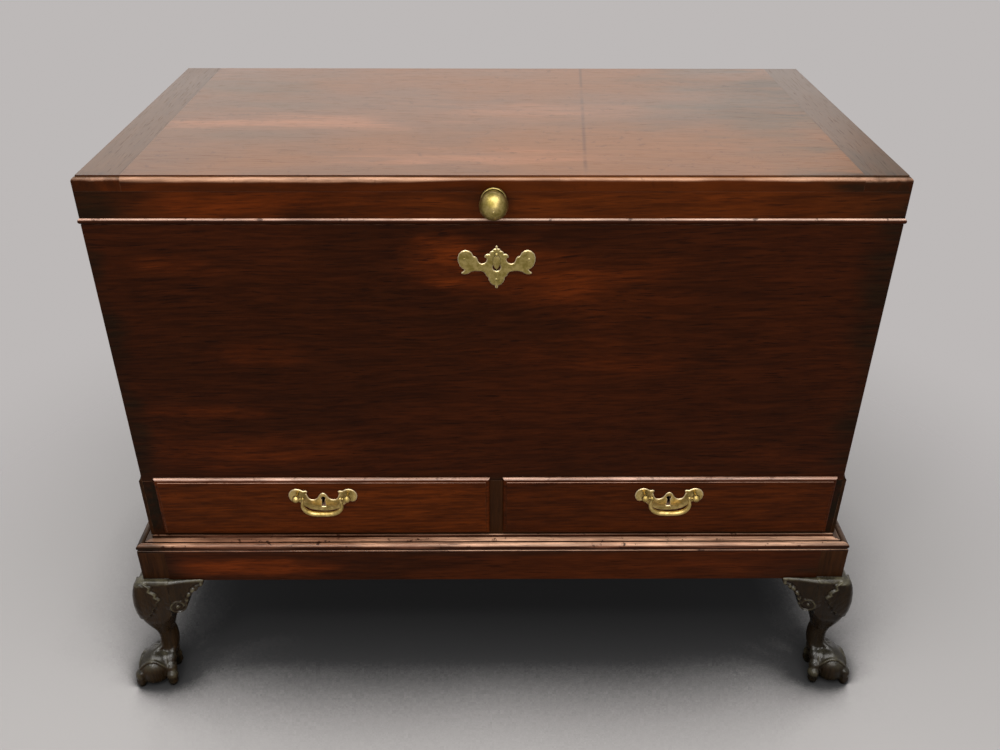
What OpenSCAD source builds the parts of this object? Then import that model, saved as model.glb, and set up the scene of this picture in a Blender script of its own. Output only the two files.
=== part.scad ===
// Silver chest on stand: a lift-top chest over two drawers, on a low stand with carved cabriole legs.
// Millimetres. X runs along the front, Y from front to back, Z up from the floor under the middle.

/* [Overall] */
// Height from the floor to the top of the lid
total_h = 870; // [820:1:930]
// Width of the case and of the lid
case_w = 1070; // [980:1:1150]
// Depth of the case and of the lid
case_d = 544; // [500:1:600]
// How far the divider and the escutcheon stand to the right of the middle
off_centre = 4; // [0:1:6]

/* [Stand] */
// Height from the floor to the lower edge of the stand's rails
leg_h = 207; // [200:1:230]
// Height of the stand's rails
rail_h = 57; // [50:1:70]
// Thickness of the stand's rails
rail_t = 34; // [31:1:36]
// Width of the square post at the top of each leg
post_w = 42; // [40:1:46]
// How far the stand stands out from the case at the front and the sides
stand_out = 24; // [22:1:27]
// How far the stand stands out behind the case
stand_back = 3; // [2:1:8]
// Length of the tenons on the rails
tenon_l = 14; // [8:1:15]
// Thickness of the tenons on the rails
tenon_t = 10; // [8:1:12]
// Clearance of a tenon in its mortise
tenon_gap = 0.15; // [0.1:0.05:0.3]

/* [Stand moulding] */
// Radius of the large round of the moulding
torus_r = 5.4; // [5:0.1:6]
// Radius of the small bead under the round
small_bead_r = 1.5; // [1.2:0.1:1.6]
// Height of the moulding on top of the stand's rails
moulding_h = 17.5; // [16:0.5:19]
// Thickness of the flat step between the case and the round
moulding_step_h = 13; // [12.5:0.1:14]
// Width of the top fillet that lies against the case
top_fillet_w = 3; // [2:0.5:5]
// Gap between the moulding and the case
moulding_gap = 0.2; // [0.1:0.05:0.4]

/* [Legs] */
// How far the knee stands out from the post
knee_out = 20.4; // [15:0.1:22]
// Radius of the ankle
ankle_r = 15.6; // [14:0.1:18]
// Height of the ankle's thinnest place
ankle_z = 72; // [68:1:76]
// How far the ankle's middle is set back from the corner of the post
ankle_back = 14; // [13:0.5:17]
// How far the middle of the foot stands out from the corner of the post
foot_out = 7; // [5:0.5:9]
// Radius of the ball
ball_r = 26; // [24:0.5:28]
// Height of the middle of the ball
ball_z = 24; // [22:0.5:25]
// How far the middle of a talon's knuckle is from the middle of the ball
talon_reach = 31; // [29:0.5:32]
// Radius of a talon at its main knuckle
talon_r = 9; // [8:0.5:10]

/* [Knee brackets] */
// Length of a bracket from the post to its tip
bracket_l = 53.5; // [48:0.5:60]
// Drop of the bracket's scroll below the rail
bracket_drop = 67; // [64:1:74]
// Radius of the scroll
scroll_r = 14; // [12:0.5:17]
// Thickness of a bracket
bracket_t = 26; // [22:1:30]
// How far a bracket stands out from the face of the rail
bracket_out = 4; // [2:0.5:6]

/* [Case] */
// Thickness of the case sides
side_t = 22; // [20:1:24]
// Thickness of the case front
front_t = 22; // [20:1:24]
// Thickness of the case back
back_t = 18; // [16:1:20]
// Thickness of the case bottom
bottom_t = 20; // [16:1:22]
// Height of the case bottom's upper face above the stand's rails
bottom_top = 22; // [20:1:25]
// Thickness of the floor of the well
well_floor_t = 18; // [14:1:22]
// Height of the drawer openings
opening_h = 101; // [96:1:110]
// Thickness of the step on the outside of the case sides
step_t = 5; // [4:0.5:7]
// Height of the step above the drawer openings' upper edge
step_above = 14; // [12:1:20]
// Height of the hollow at the top of the step
step_cove_h = 14; // [10:1:16]

/* [Lid] */
// Height of the lid, top to lower edge
lid_h = 64.5; // [60:0.5:75]
// Gap between the lid and the rim of the case
lid_gap = 0.4; // [0.3:0.1:0.8]
// Thickness of the lid board
lid_board_t = 20; // [16:1:24]
// Thickness of the lid's rails
lid_rail_t = 20; // [18:1:22]
// Width of the cleats at the ends of the lid board
cleat_w = 61.5; // [50:0.5:70]
// Length of the tongue that joins the lid board to a cleat
tongue_l = 12; // [8:1:15]
// Thickness of that tongue
tongue_t = 7; // [5:1:8]
// Drop of the fillet at the lid's upper edge
edge_step = 2; // [1:0.5:3]
// Radius of the round below that fillet
edge_r = 5; // [4:0.5:7]
// Height of the bead along the lid's lower edge
bead_h = 8; // [7:0.5:10]
// How far that bead stands out
bead_out = 2.5; // [2:0.1:3]
// How deep that bead is let into the rails
bead_in = 4; // [3:0.5:5]

/* [Drawers] */
// Width of the divider between the drawers
divider_w = 26; // [24:1:32]
// Thickness of the drawer fronts inside the opening
drawer_front_t = 18; // [16:1:20]
// How far a lip covers the divider
lip_on_divider = 3; // [2:0.5:5]
// How far a lip covers the left case side
lip_on_left = 3.5; // [2:0.5:14]
// How far a lip covers the right case side
lip_on_right = 11.5; // [2:0.5:14]
// How far a lip covers the edge above the opening
lip_on_top = 6.5; // [5:0.5:8]
// Height of a drawer front's lower edge above the case bottom
lip_rise = 0.8; // [0.5:0.1:2]
// Thickness of the lip's square edge
lip_edge_t = 1; // [0.6:0.2:1.6]
// Radius of the lip's round
lip_r = 4.2; // [3:0.2:5]
// Rise of the field inside the round
field_rise = 1.2; // [0.8:0.2:1.6]
// Width of the flat between the round and the field
field_flat = 1.8; // [1:0.2:3]
// Thickness of the drawer sides and backs
drawer_t = 12; // [10:1:14]
// Thickness of the drawer bottoms
drawer_bottom_t = 7; // [6:1:9]
// Depth of the grooves that hold the drawer bottoms
groove_d = 5; // [4:1:6]
// Height of those grooves above the lower edge of the drawer sides
groove_z = 6; // [5:1:10]
// Clearance of a panel in its groove
groove_gap = 0.15; // [0.1:0.05:0.3]
// Clearance at each side of a drawer, and above it
drawer_gap = 0.8; // [0.5:0.1:1.2]
// Running gap under a drawer
drawer_run = 0.3; // [0.2:0.1:0.5]
// Room behind a drawer
drawer_room = 14; // [8:1:30]
// Number of dovetails at each corner of a drawer
tails = 3; // [2:1:4]
// Rise of a dovetail's edge to its tip
tail_rise = 2; // [1:0.5:3]

/* [Knob] */
// Diameter of the knob's ball
knob_d = 37.2; // [32:0.2:40]
// Distance from the lid's face to the middle of the knob
knob_reach = 21; // [20:0.5:24]
// Diameter of the rose behind the knob
rose_d = 34; // [30:1:38]
// Thickness of the rose
rose_t = 3; // [2:0.5:4]
// Diameter of the neck between the knob and the rail
neck_d = 14; // [12:1:18]
// Diameter of the knob's shank in the rail
shank_d = 8; // [6:1:10]
// Drop of the knob's middle below the lid's top
knob_drop = 31; // [29:1:34]

/* [Hinges] */
// Distance of the hinges from the middle
hinge_x = 330; // [280:5:380]
// Length of a hinge
hinge_l = 76; // [60:1:90]
// Number of knuckles of a hinge
knuckles = 5; // [3:2:7]
// Radius of a hinge knuckle
knuckle_r = 4.6; // [4:0.1:5]
// Radius of a hinge pin
pin_r = 2; // [1.5:0.1:2.4]
// Running clearance around a hinge pin and round every pivot
pivot_gap = 0.05; // [0.03:0.01:0.08]
// Thickness of a hinge leaf
leaf_t = 2.2; // [1.8:0.1:2.6]
// Width of a hinge leaf from the case's back
leaf_w = 15; // [12:1:15]
// Gap between neighbouring parts that move past each other
slip_gap = 0.3; // [0.25:0.05:0.4]

/* [Escutcheon] */
// Drop of the escutcheon's keyhole below the lid's top
escutcheon_drop = 124; // [118:1:130]
// Scale of the escutcheon's outline
escutcheon_size = 1; // [0.9:0.02:1.1]
// Thickness of the brass plates
plate_t = 1.6; // [1.2:0.1:2]
// Radius of a keyhole's round
keyhole_r = 3.8; // [3:0.1:4]
// Width of a keyhole's slot
keyhole_w = 4.2; // [3:0.1:5]
// Length of a keyhole's slot below the middle of its round
keyhole_l = 13; // [10:0.5:14]
// Radius of the pivot of the keyhole cover
rivet_r = 1.5; // [1.2:0.1:1.8]

/* [Handles] */
// Distance between the posts of a handle
post_pitch = 77; // [74:1:82]
// Height of a handle's posts above the case bottom
handle_rise = 82; // [76:1:84]
// Radius of a post's head
head_r = 6.6; // [6:0.1:7]
// Distance from the plate to the middle of a post's head
head_reach = 12; // [11:0.5:14]
// Radius of a post's shank
stem_r = 3; // [2.5:0.1:3.5]
// Thickness of the bail's bar
bail_r = 3.2; // [2.6:0.1:3.4]
// Drop of the bail's bar below the posts
bail_drop = 31; // [28:1:34]
// Radius of the bail's pivots
bail_pin_r = 1.6; // [1.4:0.1:1.8]

/* [Locks] */
// Width of the lid's lock
lock_w = 78; // [74:1:90]
// Width of a drawer's lock
drawer_lock_w = 54; // [40:1:58]
// Height of the lid's lock
lid_lock_h = 76; // [72:1:80]
// Thickness of a lock
lock_t = 13; // [12:0.5:14]
// Height of a drawer's lock
drawer_lock_h = 62; // [56:1:66]
// Throw of a bolt
throw = 8; // [6:0.5:9]
// Width of a drawer lock's bolt
bolt_w = 18; // [14:1:22]
// Height of the lid's bolt
lid_bolt_h = 5; // [4:0.5:6]
// Thickness of a bolt
bolt_t = 4; // [3:0.5:5]
// Depth of the staple below the lid
staple_l = 15; // [13:1:17]

/* [Hidden] */
$fn = 48;
eps = 0.01;

mahogany = [0.30, 0.12, 0.07];
mahogany_top = [0.45, 0.25, 0.18];
dark_wood = [0.16, 0.12, 0.08];
drawer_wood = [0.62, 0.45, 0.28];
brass = [0.72, 0.62, 0.34];
steel = [0.45, 0.44, 0.42];

// Fixed sizes of the small metal parts
bolt_l = 14;
key_below = 10;
nut_w = 9;
nut_t = 3.5;
pivot_l = 4;
link_w = 70;
link_d = 12;
link_t = 2;
staple_w = 8;
staple_t = 3.5;
pocket_gap = 1;
lid_bolt_l = 26;
cover_t = 2;
collar_t = 2.2;

// Fixed sizes of the joinery
leg_corner_points = 7;
tenon_shoulder = 8;
tongue_setback = 30;
tail_margin = 3;
tail_space = 5;

// Levels
frame_top = leg_h + rail_h;
case_floor = frame_top + bottom_top;
opening_top = case_floor + opening_h;
lid_top = total_h;
lid_bottom = total_h - lid_h;
case_top = lid_bottom - lid_gap;
well_bottom = opening_top + well_floor_t;

// Outlines
stand_d = case_d + stand_out + stand_back;
front_y = -stand_d / 2 + stand_out;
back_y = front_y + case_d;
half_w = case_w / 2;
post_x = half_w + stand_out;
post_y = stand_d / 2;
inner_x = half_w - side_t;
front_in = front_y + front_t;
back_in = back_y - back_t;

// Draws a profile of Y and Z along X, centred
module along_x(length) {
    rotate([90, 0, 90]) linear_extrude(length, center = true) children();
}

// Draws a profile of X and Z along Y from y0 to y1
module along_y(y0, y1) {
    translate([0, y1, 0]) rotate([90, 0, 0]) linear_extrude(y1 - y0) children();
}

module box(low, high) {
    translate(low) cube(high - low);
}

// Turns a profile that runs outwards from the case's face into place at the front
module at_front() {
    translate([front_y, 0]) mirror([1, 0]) children();
}

// The space in front of the mitres, for a strip that reaches out by far and in by deep
module front_mitre(far, deep, z0, z1) {
    translate([0, 0, z0]) linear_extrude(z1 - z0) polygon([
        [-half_w - far, front_y - far], [half_w + far, front_y - far],
        [half_w - deep, front_y + deep], [-half_w + deep, front_y + deep]
    ]);
}

// The space beside the right mitre, back to the back of the case
module side_mitre(far, deep, z0, z1) {
    translate([0, 0, z0]) linear_extrude(z1 - z0) polygon([
        [half_w + far, front_y - far], [half_w + far, back_y],
        [half_w - deep, back_y], [half_w - deep, front_y + deep]
    ]);
}

module at_side(side) {
    if (side < 0) mirror([1, 0, 0]) children(); else children();
}

// Legs

// Heights, outer reach, inner reach and corner radius of the leg's sections, from the corner of the post
leg_sections = [
    [leg_h + 3.5, knee_out - 13.5, -post_w, 4],
    [leg_h - 1, knee_out - 7.2, -post_w, 8],
    [leg_h - 10, knee_out - 4.2, -post_w, 10],
    [leg_h - 24, knee_out - 1.4, -post_w, 12],
    [leg_h - 40, knee_out, -post_w, 12],
    [leg_h - 58, knee_out - 0.9, -post_w + 2, 12],
    [leg_h - 81, knee_out - 5.9, -post_w + 9, 13],
    [leg_h - 94, knee_out - 9.9, -post_w + 10, 14],
    [ankle_z + 24, ankle_r - ankle_back + 3, -ankle_back - ankle_r + 2, 15],
    [ankle_z + 12, ankle_r - ankle_back + 0.8, -ankle_back - ankle_r + 0.5, 16],
    [ankle_z, ankle_r - ankle_back, -ankle_back - ankle_r, ankle_r - 0.2],
    [ankle_z - 12, ankle_r - ankle_back + 1, -ankle_back - ankle_r + 0.8, 15.5],
    [ankle_z - 22, ankle_r - ankle_back + 4, -ankle_back - ankle_r + 3, 17],
    [ankle_z - 32, ankle_r - ankle_back + 12, -ankle_back - ankle_r + 6, 19],
    [ankle_z - 42, ankle_r - ankle_back + 20, -ankle_back - ankle_r + 12, 20]
];

// A smooth value between b and c, with a and d beyond them
function smooth(a, b, c, d, t) =
    0.5 * (2 * b + (c - a) * t + (2 * a - 5 * b + 4 * c - d) * t * t + (3 * b - a - 3 * c + d) * t * t * t);

// The inner reach stays at the post's inner face, where the brackets meet the leg
function section_at(rows, i, t) = let(row = [
    for (k = [0:3]) smooth(
        rows[max(i - 1, 0)][k], rows[i][k], rows[min(i + 1, len(rows) - 1)][k],
        rows[min(i + 2, len(rows) - 1)][k], t)
]) [row[0], row[1], max(row[2], -post_w), row[3]];

// A square with round corners between inner and outer reach, as points at height z
function ring(row) = let(
    z = row[0], mid = (row[1] + row[2]) / 2, half = (row[1] - row[2]) / 2, r = min(row[3], half - 0.1)
) [
    for (q = [0:3], k = [0:leg_corner_points - 1]) let(
        a = 90 * q + 90 * k / (leg_corner_points - 1),
        cx = (q == 0 || q == 3) ? half - r : r - half,
        cy = (q < 2) ? half - r : r - half
    ) [mid + cx + r * cos(a), mid + cy + r * sin(a), z]
];

// A closed skin over rings of points, from the top down
module skin(rings) {
    n = len(rings[0]);
    last = len(rings) - 1;
    points = [for (r = rings) each r];
    walls = [
        for (i = [0:last - 1], k = [0:n - 1]) let(
            a = i * n + k, b = i * n + (k + 1) % n, c = a + n, d = b + n
        ) each [[a, b, c], [b, d, c]]
    ];
    top = [for (k = [1:n - 2]) [0, k + 1, k]];
    bottom = [for (k = [1:n - 2]) [last * n, last * n + k, last * n + k + 1]];
    polyhedron(points, concat(walls, top, bottom));
}

// One talon: knuckles along its length, as reach out and to the side, height and radius
module talon(knuckle_rows) {
    for (i = [0:len(knuckle_rows) - 2]) hull() for (row = [knuckle_rows[i], knuckle_rows[i + 1]])
        translate([row[0], row[1], row[2]]) sphere(row[3], $fn = 12);
}

// The middle of the ankle, seen from the middle of the foot along the leg's diagonal
ankle_reach = -(foot_out + ankle_back) * sqrt(2);

// The talons lie in the leg's diagonal frame, with the foot's middle at the origin
module talons() {
    front = talon_reach;
    talon([
        [ankle_reach + ankle_r - 3, 0, ankle_z - 15, 5],
        [ankle_reach + ankle_r + 20, 0, 42, talon_r - 1],
        [front - 11, 0, 30, talon_r - 2], [front + 1, 0, 22, talon_r],
        [front + 4, 0, 9, talon_r - 2.5], [front + 3, 0, 2, talon_r - 4]
    ]);
    for (side = [-1, 1]) talon([
        [ankle_reach + 2, side * (ankle_r - 5), ankle_z - 20, 5],
        [ankle_reach + 14, side * 20, 33, talon_r - 1.5],
        [-10, side * (front - 1), 25, talon_r - 0.5], [-6, side * (front + 5.5), 16, talon_r],
        [-5, side * (front + 6), 8, talon_r - 2], [-5, side * (front + 5), 2, talon_r - 4]
    ]);
    talon([
        [ankle_reach - ankle_r + 6, 0, ankle_z - 16, 6], [-front - 1, 0, 38, talon_r - 1],
        [-front - 4, 0, 20, talon_r], [-front - 5, 0, 9, talon_r - 1.5], [-front - 4, 0, 2, talon_r - 4]
    ]);
}

// The part of a scroll that is carved on the leg, beside the bracket along X
module leg_scroll() {
    intersection() {
        translate([scroll_x, bracket_out, leg_h - bracket_drop + scroll_r]) rotate([90, 0, 0])
            cylinder(h = bracket_t, r = scroll_r);
        box([-post_w, -post_w, leg_h - 2 * bracket_drop], [0, post_w, leg_h]);
    }
}

scroll_x = -post_w - 2;

// A rear leg has no bracket, and so no scroll, on its back
module leg(front) {
    steps = 2;
    color(dark_wood) difference() {
        union() {
            box([-post_w, -post_w, leg_h - 30], [0, 0, frame_top]);
            skin([for (i = [0:len(leg_sections) - 2], s = [0:steps - 1])
                ring(section_at(leg_sections, i, s / steps))]);
            mirror([1, -1, 0]) leg_scroll();
            if (front) leg_scroll();
            translate([foot_out, foot_out, ball_z]) sphere(ball_r, $fn = 28);
            translate([foot_out, foot_out, 0]) rotate(45) talons();
        }
        box([-100, -100, -50], [100, 100, 0]);
        for (turn = [0, 1]) mirror([turn, -turn, 0]) rail_mortise();
    }
}

tenon_h = rail_h - 2 * tenon_shoulder;

// A tenon that enters the post along X, behind the face of the rail
module tenon(extra) {
    box([-post_w - eps, -rail_t / 2 - tenon_t / 2 - extra, frame_top - tenon_h - tenon_shoulder - extra],
        [-post_w + tenon_l + extra, -rail_t / 2 + tenon_t / 2 + extra, frame_top - tenon_shoulder + extra]);
}

module rail_mortise() {
    translate([-eps, 0, 0]) tenon(tenon_gap);
}

// Places a leg's own frame, outwards along X and along Y, at one corner
module at_corner(side, end) {
    mirror([side < 0 ? 1 : 0, 0, 0]) mirror([0, end < 0 ? 1 : 0, 0])
        translate([post_x, post_y, 0]) children();
}

module leg_front_left() { at_corner(-1, -1) leg(true); }
module leg_front_right() { at_corner(1, -1) leg(true); }
module leg_rear_left() { at_corner(-1, 1) leg(false); }
module leg_rear_right() { at_corner(1, 1) leg(false); }

// Outline of a knee bracket: X away from the post, Z down from the rail
module bracket_outline() {
    tip = -post_w - bracket_l;
    difference() {
        union() {
            polygon([
                [-post_w, 0], [tip, 0], [tip + 2.5, -9], [tip + 10.5, -11.5], [tip + 13.5, -17],
                [tip + 19, -19.5], [tip + 23.5, -26], [tip + 29, -33], [tip + 33, -43],
                [-post_w, -bracket_drop + scroll_r]
            ]);
            translate([scroll_x, -bracket_drop + scroll_r]) circle(scroll_r);
        }
        translate([-post_w, -2 * bracket_drop]) square([2 * scroll_r + 10, 3 * bracket_drop]);
    }
}

// A bracket under the rail that runs along X, in a leg's own frame
module bracket() {
    translate([0, bracket_out, leg_h]) rotate([90, 0, 0]) linear_extrude(bracket_t) bracket_outline();
}

module brackets_pair() {
    bracket();
    mirror([1, -1, 0]) bracket();
}

module brackets_front_left() { color(dark_wood) at_corner(-1, -1) brackets_pair(); }
module brackets_front_right() { color(dark_wood) at_corner(1, -1) brackets_pair(); }
module bracket_rear_left() { color(dark_wood) at_corner(-1, 1) mirror([1, -1, 0]) bracket(); }
module bracket_rear_right() { color(dark_wood) at_corner(1, 1) mirror([1, -1, 0]) bracket(); }

// Stand

rail_tenon_y = post_y - rail_t / 2;

module stand_rail_x() {
    reach = post_x - post_w;
    box([-reach, -post_y, leg_h], [reach, -post_y + rail_t, frame_top]);
    for (side = [-1, 1]) at_corner(side, -1) tenon(0);
}

module stand_front_rail() { color(mahogany) stand_rail_x(); }
module stand_back_rail() { color(mahogany) mirror([0, 1, 0]) stand_rail_x(); }
module stand_side_rails() {
    reach = post_y - post_w;
    color(mahogany) for (side = [-1, 1]) at_side(side) {
        box([post_x - rail_t, -reach, leg_h], [post_x, reach, frame_top]);
        for (end = [-1, 1]) at_corner(1, end) mirror([1, -1, 0]) tenon(0);
    }
}

// Section of the stand's moulding: X outwards from the case, Y up from the stand's rails
module moulding_profile() {
    out = stand_out;
    translate([moulding_gap, 0]) square([out - moulding_gap - 2 * small_bead_r, moulding_step_h - torus_r]);
    translate([moulding_gap, 0]) square([out - moulding_gap - 2 * torus_r - 0.6, moulding_step_h]);
    translate([moulding_gap, 0]) square([top_fillet_w, moulding_h]);
    translate([out - torus_r, moulding_step_h + 1 - torus_r]) circle(torus_r);
    translate([out - small_bead_r - 0.1, small_bead_r + 0.2]) circle(small_bead_r);
}

module moulding_front() {
    color(mahogany) intersection() {
        along_x(case_w + 4 * stand_out) at_front() translate([0, frame_top]) moulding_profile();
        front_mitre(stand_out + 1, 1, frame_top - 1, frame_top + moulding_h + 1);
    }
}

module moulding_side() {
    color(mahogany) intersection() {
        along_y(-post_y - 1, back_y) translate([half_w, frame_top]) moulding_profile();
        side_mitre(stand_out + 1, 1, frame_top - 1, frame_top + moulding_h + 1);
    }
}

module moulding_left() { at_side(-1) moulding_side(); }
module moulding_right() { at_side(1) moulding_side(); }

// Case

muntin_l = off_centre - divider_w / 2;
muntin_r = off_centre + divider_w / 2;

// The middle of each drawer's lipped front
left_mid = (-inner_x - lip_on_left + muntin_l + lip_on_divider) / 2;
right_mid = (inner_x + lip_on_right + muntin_r - lip_on_divider) / 2;

lock_in = front_in - lock_t;
lid_lock_z = case_top - lid_lock_h;

module case_front() {
    color(mahogany) difference() {
        box([-half_w, front_y, opening_top], [half_w, front_in, case_top]);
        box([off_centre - lock_w / 2 - tenon_gap, lock_in - tenon_gap, lid_lock_z - tenon_gap],
            [off_centre + lock_w / 2 + tenon_gap, front_in + 1, case_top + 1]);
        translate([off_centre, front_y, key_z]) keyhole(front_t);
        for (x = [left_mid, right_mid])
            box([x - bolt_w / 2 - 1, bolt_y - bolt_t / 2 - 1, opening_top - 1],
                [x + bolt_w / 2 + 1, bolt_y + bolt_t / 2 + 1, opening_top + throw + 1]);
    }
}

module case_side(side) {
    color(mahogany) at_side(side) difference() {
        box([inner_x, front_y, frame_top], [half_w, back_y, case_top]);
        box([inner_x - 1, front_y - 1, opening_top], [half_w + 1, front_in, case_top + 1]);
    }
}

module case_side_left() { case_side(-1); }
module case_side_right() { case_side(1); }

module case_back() {
    color(drawer_wood) difference() {
        box([-inner_x, back_in, frame_top], [inner_x, back_y, case_top]);
        for (side = [-1, 1])
            box([side * hinge_x - hinge_l / 2 - tenon_gap, back_y - leaf_w - tenon_gap, case_top - leaf_t],
                [side * hinge_x + hinge_l / 2 + tenon_gap, back_y + 1, case_top + 1]);
    }
}

// The step on the outside of a case side, with a hollow along its top
module side_step(side) {
    top = opening_top + step_above;
    foot = frame_top + moulding_h + moulding_gap;
    cove_r = (step_t * step_t + step_cove_h * step_cove_h) / (2 * step_t);
    color(mahogany) at_side(side) along_y(front_y, back_y) difference() {
        translate([half_w, foot]) square([step_t, top - foot]);
        translate([half_w + cove_r, top]) circle(cove_r, $fn = 96);
    }
}

module side_step_left() { side_step(-1); }
module side_step_right() { side_step(1); }

module well_floor() {
    color(drawer_wood) box([-inner_x, front_in, opening_top], [inner_x, back_in, well_bottom]);
}

module case_bottom() {
    color(mahogany) box([-inner_x, front_y, case_floor - bottom_t], [inner_x, back_in, case_floor]);
}

module drawer_muntin() {
    color(mahogany) box([muntin_l, front_y, case_floor], [muntin_r, front_in, opening_top]);
}

module drawer_divider() {
    color(drawer_wood) box([muntin_l, front_in, case_floor], [muntin_r, back_in, opening_top]);
}

// Lid

// Section of the lid board at a moulded edge: X outwards to the face at 0, Y up from the board's underside
module lid_edge(deep) {
    translate([-deep, 0]) square([deep, lid_board_t - edge_step - edge_r]);
    translate([-deep, 0]) square([deep - edge_r, lid_board_t]);
    translate([-edge_r, lid_board_t - edge_step - edge_r]) circle(edge_r);
}

module lid_board() {
    z = lid_top - lid_board_t;
    intersection() {
        along_x(case_w + 2) at_front() translate([0, z]) lid_edge(case_d);
        along_y(front_y - 1, back_y) union() {
            translate([half_w, z]) lid_edge(half_w);
            translate([-half_w, z]) mirror([1, 0]) lid_edge(half_w);
        }
    }
}

panel_half = half_w - cleat_w;

module tongue(extra) {
    mid = lid_top - lid_board_t / 2;
    box([-panel_half - tongue_l - extra, front_y + tongue_setback - extra, mid - tongue_t / 2 - extra],
        [panel_half + tongue_l + extra, back_y - tongue_setback + extra, mid + tongue_t / 2 + extra]);
}

module lid_panel() {
    color(mahogany_top) union() {
        intersection() {
            lid_board();
            box([-panel_half, front_y - 1, lid_top - 100], [panel_half, back_y + 1, lid_top + 1]);
        }
        tongue(0);
    }
}

module lid_cleat(side) {
    color(mahogany_top) difference() {
        intersection() {
            lid_board();
            at_side(side)
                box([panel_half, front_y - 1, lid_top - 100], [half_w + 1, back_y + 1, lid_top + 1]);
        }
        tongue(tenon_gap);
    }
}

module lid_cleat_left() { lid_cleat(-1); }
module lid_cleat_right() { lid_cleat(1); }

lid_under = lid_top - lid_board_t;
knob_z = lid_top - knob_drop;

module lid_front_rail() {
    color(mahogany) difference() {
        box([-half_w, front_y, lid_bottom], [half_w, front_y + lid_rail_t, lid_under]);
        bead_rebate();
        translate([0, front_y - 1, knob_z]) rotate([-90, 0, 0])
            cylinder(h = lid_rail_t + 2, d = shank_d + 2 * tenon_gap);
        box([off_centre - link_w / 2 - tenon_gap, link_y - link_d / 2 - tenon_gap, lid_bottom - 1],
            [off_centre + link_w / 2 + tenon_gap, link_y + link_d / 2 + tenon_gap, lid_bottom + link_t]);
    }
}

module lid_back_rail() {
    color(mahogany) difference() {
        box([-half_w, back_y - lid_rail_t, lid_bottom], [half_w, back_y, lid_under]);
        bead_rebate();
        for (side = [-1, 1])
            box([side * hinge_x - hinge_l / 2 - tenon_gap, back_y - leaf_w - tenon_gap, lid_bottom - 1],
                [side * hinge_x + hinge_l / 2 + tenon_gap, back_y + 1, lid_bottom + leaf_t]);
    }
}

module lid_side_rail(side) {
    color(mahogany) difference() {
        at_side(side) box([half_w - lid_rail_t, front_y + lid_rail_t, lid_bottom],
            [half_w, back_y - lid_rail_t, lid_under]);
        bead_rebate();
    }
}

module lid_side_rail_left() { lid_side_rail(-1); }
module lid_side_rail_right() { lid_side_rail(1); }

// The rebate for the bead, on the front and both sides
module bead_rebate() {
    box([-half_w - 1, front_y - 1, lid_bottom - 1], [half_w + 1, front_y + bead_in, lid_bottom + bead_h]);
    for (side = [-1, 1]) at_side(side)
        box([half_w - bead_in, front_y - 1, lid_bottom - 1], [half_w + 1, back_y + 1, lid_bottom + bead_h]);
}

// Section of the bead: X outwards from the lid's face, Y up from the lid's lower edge
module bead_profile() {
    nose = bead_h / 2;
    translate([-bead_in, 0]) square([bead_in + bead_out - nose, bead_h]);
    intersection() {
        translate([bead_out - nose, nose]) circle(nose);
        translate([-bead_in, 0]) square([bead_in + bead_out, bead_h]);
    }
}

module lid_bead() {
    color(mahogany) {
        intersection() {
            along_x(case_w + 20) at_front() translate([0, lid_bottom]) bead_profile();
            front_mitre(bead_out + 1, bead_in + 1, lid_bottom - 1, lid_bottom + bead_h + 1);
        }
        for (side = [-1, 1]) at_side(side) intersection() {
            along_y(front_y - 10, back_y) translate([half_w, lid_bottom]) bead_profile();
            side_mitre(bead_out + 1, bead_in + 1, lid_bottom - 1, lid_bottom + bead_h + 1);
        }
    }
}

// Knob

module lid_knob() {
    nut_y = front_y + lid_rail_t;
    color(brass) translate([0, 0, knob_z]) {
        translate([0, front_y - knob_reach, 0]) sphere(d = knob_d);
        translate([0, front_y - knob_reach, 0]) rotate([-90, 0, 0]) cylinder(h = knob_reach, d = neck_d);
        translate([0, front_y - 1, 0]) rotate([-90, 0, 0]) cylinder(h = lid_rail_t + 8, d = shank_d);
        translate([0, nut_y, 0]) rotate([-90, 0, 0]) cylinder(h = 4, d = neck_d + 6, $fn = 6);
    }
}

module knob_rose() {
    hole = neck_d / 2 + 0.1;
    rim = rose_d / 2 - rose_t / 2;
    color(brass) translate([0, front_y, knob_z]) rotate([90, 0, 0]) rotate_extrude() {
        translate([hole, 0]) square([rim - hole, rose_t]);
        translate([rim, rose_t / 2]) circle(rose_t / 2);
    }
}

// Hinges

pin_y = back_y + knuckle_r + slip_gap;
pin_z = case_top + lid_gap / 2;
knuckle_l = (hinge_l - (knuckles - 1) * slip_gap) / knuckles;

// Every second knuckle of one hinge, from first
module hinge_knuckles(first, z0) {
    for (i = [first:2:knuckles - 1]) translate([-hinge_l / 2 + i * (knuckle_l + slip_gap), 0, 0]) {
        translate([0, pin_y, pin_z]) rotate([0, 90, 0]) cylinder(h = knuckle_l, r = knuckle_r);
        box([0, back_y - 1, z0], [knuckle_l, pin_y, z0 + leaf_t]);
    }
}

module hinge_half(first, z0) {
    for (side = [-1, 1]) translate([side * hinge_x, 0, 0]) difference() {
        union() {
            box([-hinge_l / 2, back_y - leaf_w, z0], [hinge_l / 2, back_y, z0 + leaf_t]);
            hinge_knuckles(first, z0);
        }
        translate([0, pin_y, pin_z]) rotate([0, 90, 0])
            cylinder(h = hinge_l + 2, r = pin_r + pivot_gap, center = true);
    }
}

module hinge_leaves_case() { color(brass) hinge_half(0, case_top - leaf_t); }
module hinge_leaves_lid() { color(brass) hinge_half(1, lid_bottom); }
module hinge_pins() {
    color(steel) for (side = [-1, 1]) translate([side * hinge_x, pin_y, pin_z]) rotate([0, 90, 0])
        cylinder(h = hinge_l, r = pin_r, center = true);
}

// Escutcheon

key_z = lid_top - escutcheon_drop;

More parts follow.
